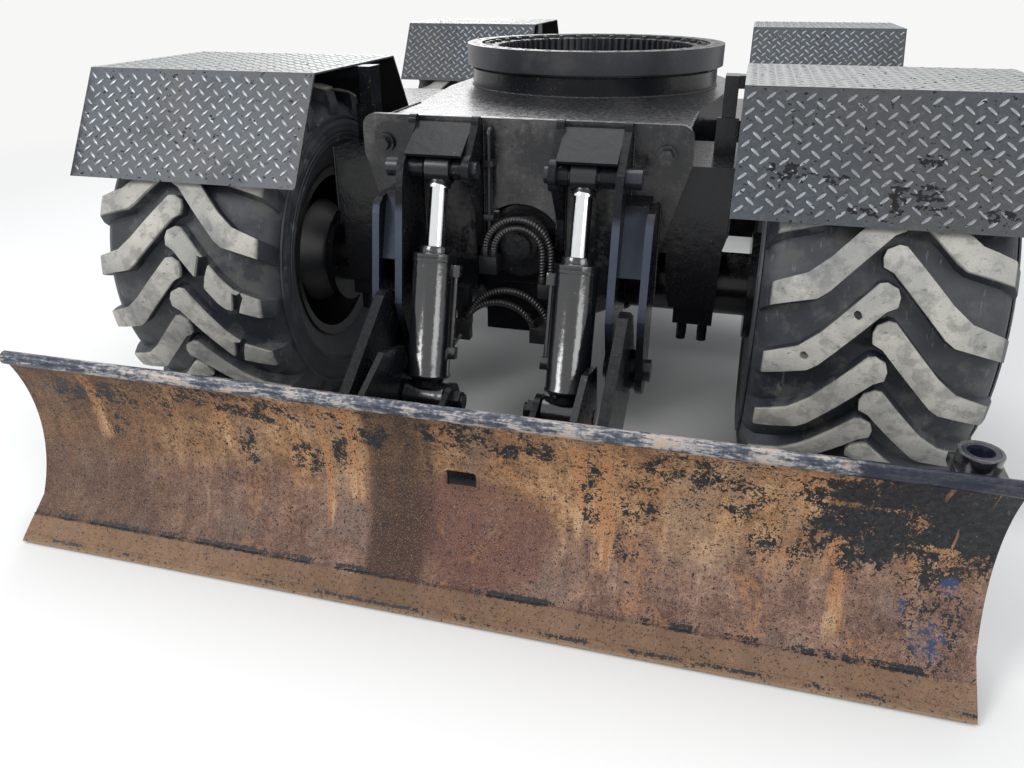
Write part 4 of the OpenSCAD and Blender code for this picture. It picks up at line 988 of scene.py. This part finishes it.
def makeEdgeStrip():
    rand = random.Random(11)
    turn = math.radians(edgeStrip["angle"])
    count, steps = len(edgeStrip["section"]), edgeStrip["steps"]
    points, faces = [], []
    for step in range(steps + 1):
        x = -edgeStrip["half"] + 2 * edgeStrip["half"] * step / steps
        ragged = rand.uniform(-edgeStrip["ragged"], edgeStrip["ragged"])
        for number, (far, off) in enumerate(edgeStrip["section"]):
            far += ragged if number >= 2 else 0.0
            points.append((x, bladeY + far * math.cos(turn) - off * math.sin(turn),
                           edgeStrip["tip"] + far * math.sin(turn) + off * math.cos(turn)))
    for step in range(steps):
        here, ahead = step * count, (step + 1) * count
        faces += [(here + place, ahead + place, ahead + (place + 1) % count, here + (place + 1) % count)
                  for place in range(count)]
    faces += [tuple(range(count)), tuple(range(steps * count, steps * count + count))[::-1]]
    strip = facedOut(listedMesh("strip", points, faces))
    addPiece("edge_strip", [(strip, still)], paints["blade"], "blade")


makeEdgeStrip()

# the lashing cup: a glossy bowl with a rolled rim round the solid's own cup, on a square base
cup = {"middle": (1.190, bladeY + 0.190, 0.545),
       "base": ((1.139, bladeY + 0.139, 0.530), (1.241, bladeY + 0.231, 0.5542), 0.0015),
       "profile": [(0.0300, 0.0180), (0.0350, 0.030), (0.0365, 0.0385), (0.0395, 0.0412), (0.0455, 0.0415),
                   (0.0475, 0.0395), (0.0475, 0.034), (0.0462, 0.030), (0.0468, 0.004), (0.0450, -0.001),
                   (0.0285, 0.012)]}
addPiece("lashing_cup", [turned(Vector(cup["middle"]), (0, 0, 1), cup["profile"], 64, True),
                         roundedBlock(*cup["base"])], paints["cup"], "blade")


# latches on the tool boxes' doors: a plate and a handle, each from one distance out to another
latch = {"fromEnd": 0.13, "layers": ((-0.004, 0.008, 0.035, 0.130, 0.075), (0.006, 0.014, 0.008, 0.122, 0.083))}


def makeLatches():
    parts = []
    low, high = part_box("tool_box_right")
    for side in (-1, 1):
        for y in (low.y + latch["fromEnd"], high.y - latch["fromEnd"]):
            for first, last, half, under, over in latch["layers"]:
                near, far = sorted((side * (high.x + first), side * (high.x + last)))
                parts.append(roundedBlock((near, y - half, high.z - under), (far, y + half, high.z - over), 0.002))
    addPiece("box_latches", parts, paints["bolt"], "chassis")


makeLatches()

# bolts, from the circles that they stand on: distance out, count, radius, head, height
hubCircles = ((0.0585, 10, 0.205, 0.017, 0.020), (0.1455, 6, 0.045, 0.009, 0.008))
housingCircle = (0.312, 12, 0.1045, 0.0085, 0.008)
# on the slewing ring and the rotary joint: height over the ground in place of the distance out
topCircles = ((1.232, 36, 0.4395, 0.013, 0.008), (1.125, 6, 0.052, 0.007, 0.006))
rigidAxle, steerAxle, slewPlace = (jointPlace(name) for name in ("roll_rigid_left", "axle_swing", "slew"))


def makeBolts():
    circles = []
    for place in wheels:
        centre = jointPlace("roll_" + place)
        side = 1 if centre.x > 0 else -1
        circles += [("wheel_" + place, centre + Vector((side * out, 0, 0)), (side, 0, 0), *rest)
                    for out, *rest in hubCircles]
    out, *rest = housingCircle
    for body, axle in (("chassis", rigidAxle), ("steer_axle", steerAxle)):
        circles += [(body, (side * out, axle.y, axle.z), (side, 0, 0), *rest) for side in (1, -1)]
    circles += [("chassis", (0.0, slewPlace.y, level), (0, 0, 1), *rest) for level, *rest in topCircles]
    byBody = {}
    for body, middle, direction, *sizes in circles:
        values = dict(zip(("Count", "Circle", "Head", "Height"), sizes), Material=paints["bolt"])
        byBody.setdefault(body, []).append((bolts.run(values), standing(middle, direction)))
    for body, parts in byBody.items():
        addPiece("bolts_" + body, parts, paints["bolt"], body)


makeBolts()
print("bolts set")

# welds on chassis and push arms: uprights on the end plate (distance out, foot, top), the deck's edge (distance
# out, start, end), the mudguards' brackets (distance out, distance ahead, foot, top), and round the slewing ring
seams = {"uprights": [(0.114, 0.735, 1.090), (0.140, 0.735, 1.090), (0.307, 0.590, 1.090), (0.333, 0.590, 1.090),
                      (0.395, 0.590, 0.890), (0.421, 0.590, 0.890)],
         "deck": (0.480, 0.025, 0.440), "deckLevel": 1.088, "bracket": (0.620, 0.225, 0.81, 0.998),
         "ring": 0.5, "ringSteps": 96, "arms": (0.349, 0.379, 0.284, 0.302, 0.128, 0.146),
         "armPath": ((0.327, 0.215), (0.327, 0.286), (0.247, 0.286))}
# the blade's own seams keep its rust: the edge plate's joint, and the rim of the slot, an oval cut off square
edgeJoint = {"from": -1.270, "step": 0.02, "count": 128, "back": 0.0645, "level": 0.0625}
slotEdge = {"x": 0.030, "z": 0.330, "wide": 0.045, "tall": 0.028, "square": 1.25, "steps": 48, "proud": 0.001}


def weldPaths():
    chassis, blade = [], []
    (deckX, *deckEnds), (guardX, ahead, *levels), ring = seams["deck"], seams["bracket"], seams["ring"]
    for side in (-1, 1):
        chassis += [[(side * x, endY - 0.001, z) for z in ends] for x, *ends in seams["uprights"]]
        chassis.append([(side * deckX, endY + back, seams["deckLevel"]) for back in deckEnds])
        chassis.append([(side * guardX, rigidAxle.y - ahead, z) for z in levels])
        blade += [[(side * x, bladeY + back, z) for back, z in seams["armPath"]] for x in seams["arms"]]
    angles = [2 * math.pi * step / seams["ringSteps"] for step in range(seams["ringSteps"] + 1)]
    chassis.append([(ring * math.cos(angle), slewPlace.y + ring * math.sin(angle), seams["deckLevel"])
                    for angle in angles])
    return {"chassis": chassis, "blade": blade}


def bladeFaceY(z):
    return bladeY - curveBack + math.sqrt(max(bladeCurve["radius"] ** 2 - (z - curveLevel) ** 2, 0.0))


def bladeSeams():
    joint = [(edgeJoint["from"] + edgeJoint["step"] * step, bladeY + edgeJoint["back"], edgeJoint["level"])
             for step in range(edgeJoint["count"])]
    rim = []
    for step in range(slotEdge["steps"] + 1):
        angle = 2 * math.pi * step / slotEdge["steps"]
        x, z = (max(-1.0, min(1.0, slotEdge["square"] * value)) for value in (math.cos(angle), math.sin(angle)))
        x, z = x * slotEdge["wide"] + slotEdge["x"], z * slotEdge["tall"] + slotEdge["z"]
        rim.append((x, bladeFaceY(z) + slotEdge["proud"], z))
    return joint, rim


def makeWelds():
    for body, lines in weldPaths().items():
        mesh = welds.run({"Material": paints["weld"]}, pathMesh(lines))
        addPiece("welds_" + body, [(mesh, still)], paints["weld"], body)
    joint, rim = bladeSeams()
    seam = welds.run({"Step": 0.0055, "Width": 0.0046, "Material": paints["blade"]}, pathMesh([joint]))
    slotRim = welds.run({"Step": 0.004, "Width": 0.0058, "Seed": 8, "Material": paints["blade"]}, pathMesh([rim]))
    addPiece("welds_slot_and_edge", [(seam, still), (slotRim, still)], paints["blade"], "blade")


makeWelds()
print("welds laid")

# floor and soft lights: the floor keeps the shadow near the object and fades to plain white far from it
studio = {"floor": (0.80, 0.80, 0.79), "reach": 420.0, "near": 3.2, "far": 7.5, "sky": 0.62,
          "white": (0.93, 0.93, 0.925), "cool": (0.93, 0.96, 1.0)}
# name: place, what it looks at, size, watts
lamps = {
    "keyLamp": ((-4.2, bladeY - 3.4, 5.2), (0.0, bladeY + 1.0, 0.4), 3.0, 300),
    "fillLamp": ((4.6, bladeY - 3.0, 3.4), (0.2, bladeY + 0.8, 0.6), 3.0, 120),
    "topLamp": ((0.0, 0.6, 6.0), (0.0, 0.0, 0.5), 5.0, 170),
    "backLamp": ((-3.0, 6.0, 4.0), (0.0, 1.0, 0.5), 3.0, 150),
}


def makeStage():
    make, x, y, z = startMaterial("paleFloor")
    shade = make.mix(make.noise(1.6, 3.0, 0.5), studio["floor"], tuple(value * 0.985 for value in studio["floor"]))
    diffuse = make.add("ShaderNodeBsdfDiffuse", None, {0: shade})
    glow = make.add("ShaderNodeEmission", None, {0: studio["white"]})
    apart = ((x * x + y * y) ** 0.5).rise(studio["near"], studio["far"])
    pale = make.close(make.add("ShaderNodeMixShader", None, {0: apart, 1: diffuse, 2: glow}))
    reach = studio["reach"]
    corners = [(-reach, -reach, 0), (reach, -reach, 0), (reach, reach, 0), (-reach, reach, 0)]
    floor = placed("floor", listedMesh("floor", corners, [(0, 1, 2, 3)]))
    wear(floor, pale)


# the camera and mirroring faces see plain white, everything else gets the dimmer sky
def makeWorld():
    bpy.context.scene.world = bpy.data.worlds.new("studio")
    make = Maker(bpy.context.scene.world, False)
    direct, mirrored, through = (make.add("ShaderNodeLightPath", out="Is %s Ray" % kind)
                                 for kind in ("Camera", "Glossy", "Transmission"))
    light = make.add("ShaderNodeBackground", None, {0: studio["cool"], 1: studio["sky"]})
    seen = make.add("ShaderNodeBackground", None, {0: studio["white"], 1: 1.0})
    make.close(make.add("ShaderNodeMixShader", None, {0: direct.top(mirrored).top(through), 1: light, 2: seen}),
               "ShaderNodeOutputWorld")


def makeLamps():
    for name, (place, target, size, watts) in lamps.items():
        data = bpy.data.lights.new(name, "AREA")
        data.shape, data.size, data.size_y, data.energy = "RECTANGLE", size, size, watts
        lamp = placed(name, data)
        lamp.location = place
        lamp.rotation_euler = (Vector(target) - Vector(place)).to_track_quat("-Z", "Y").to_euler()


makeStage()
makeWorld()
makeLamps()
bpy.context.scene.view_settings.view_transform = "Standard"
print("stage and lamps ready")
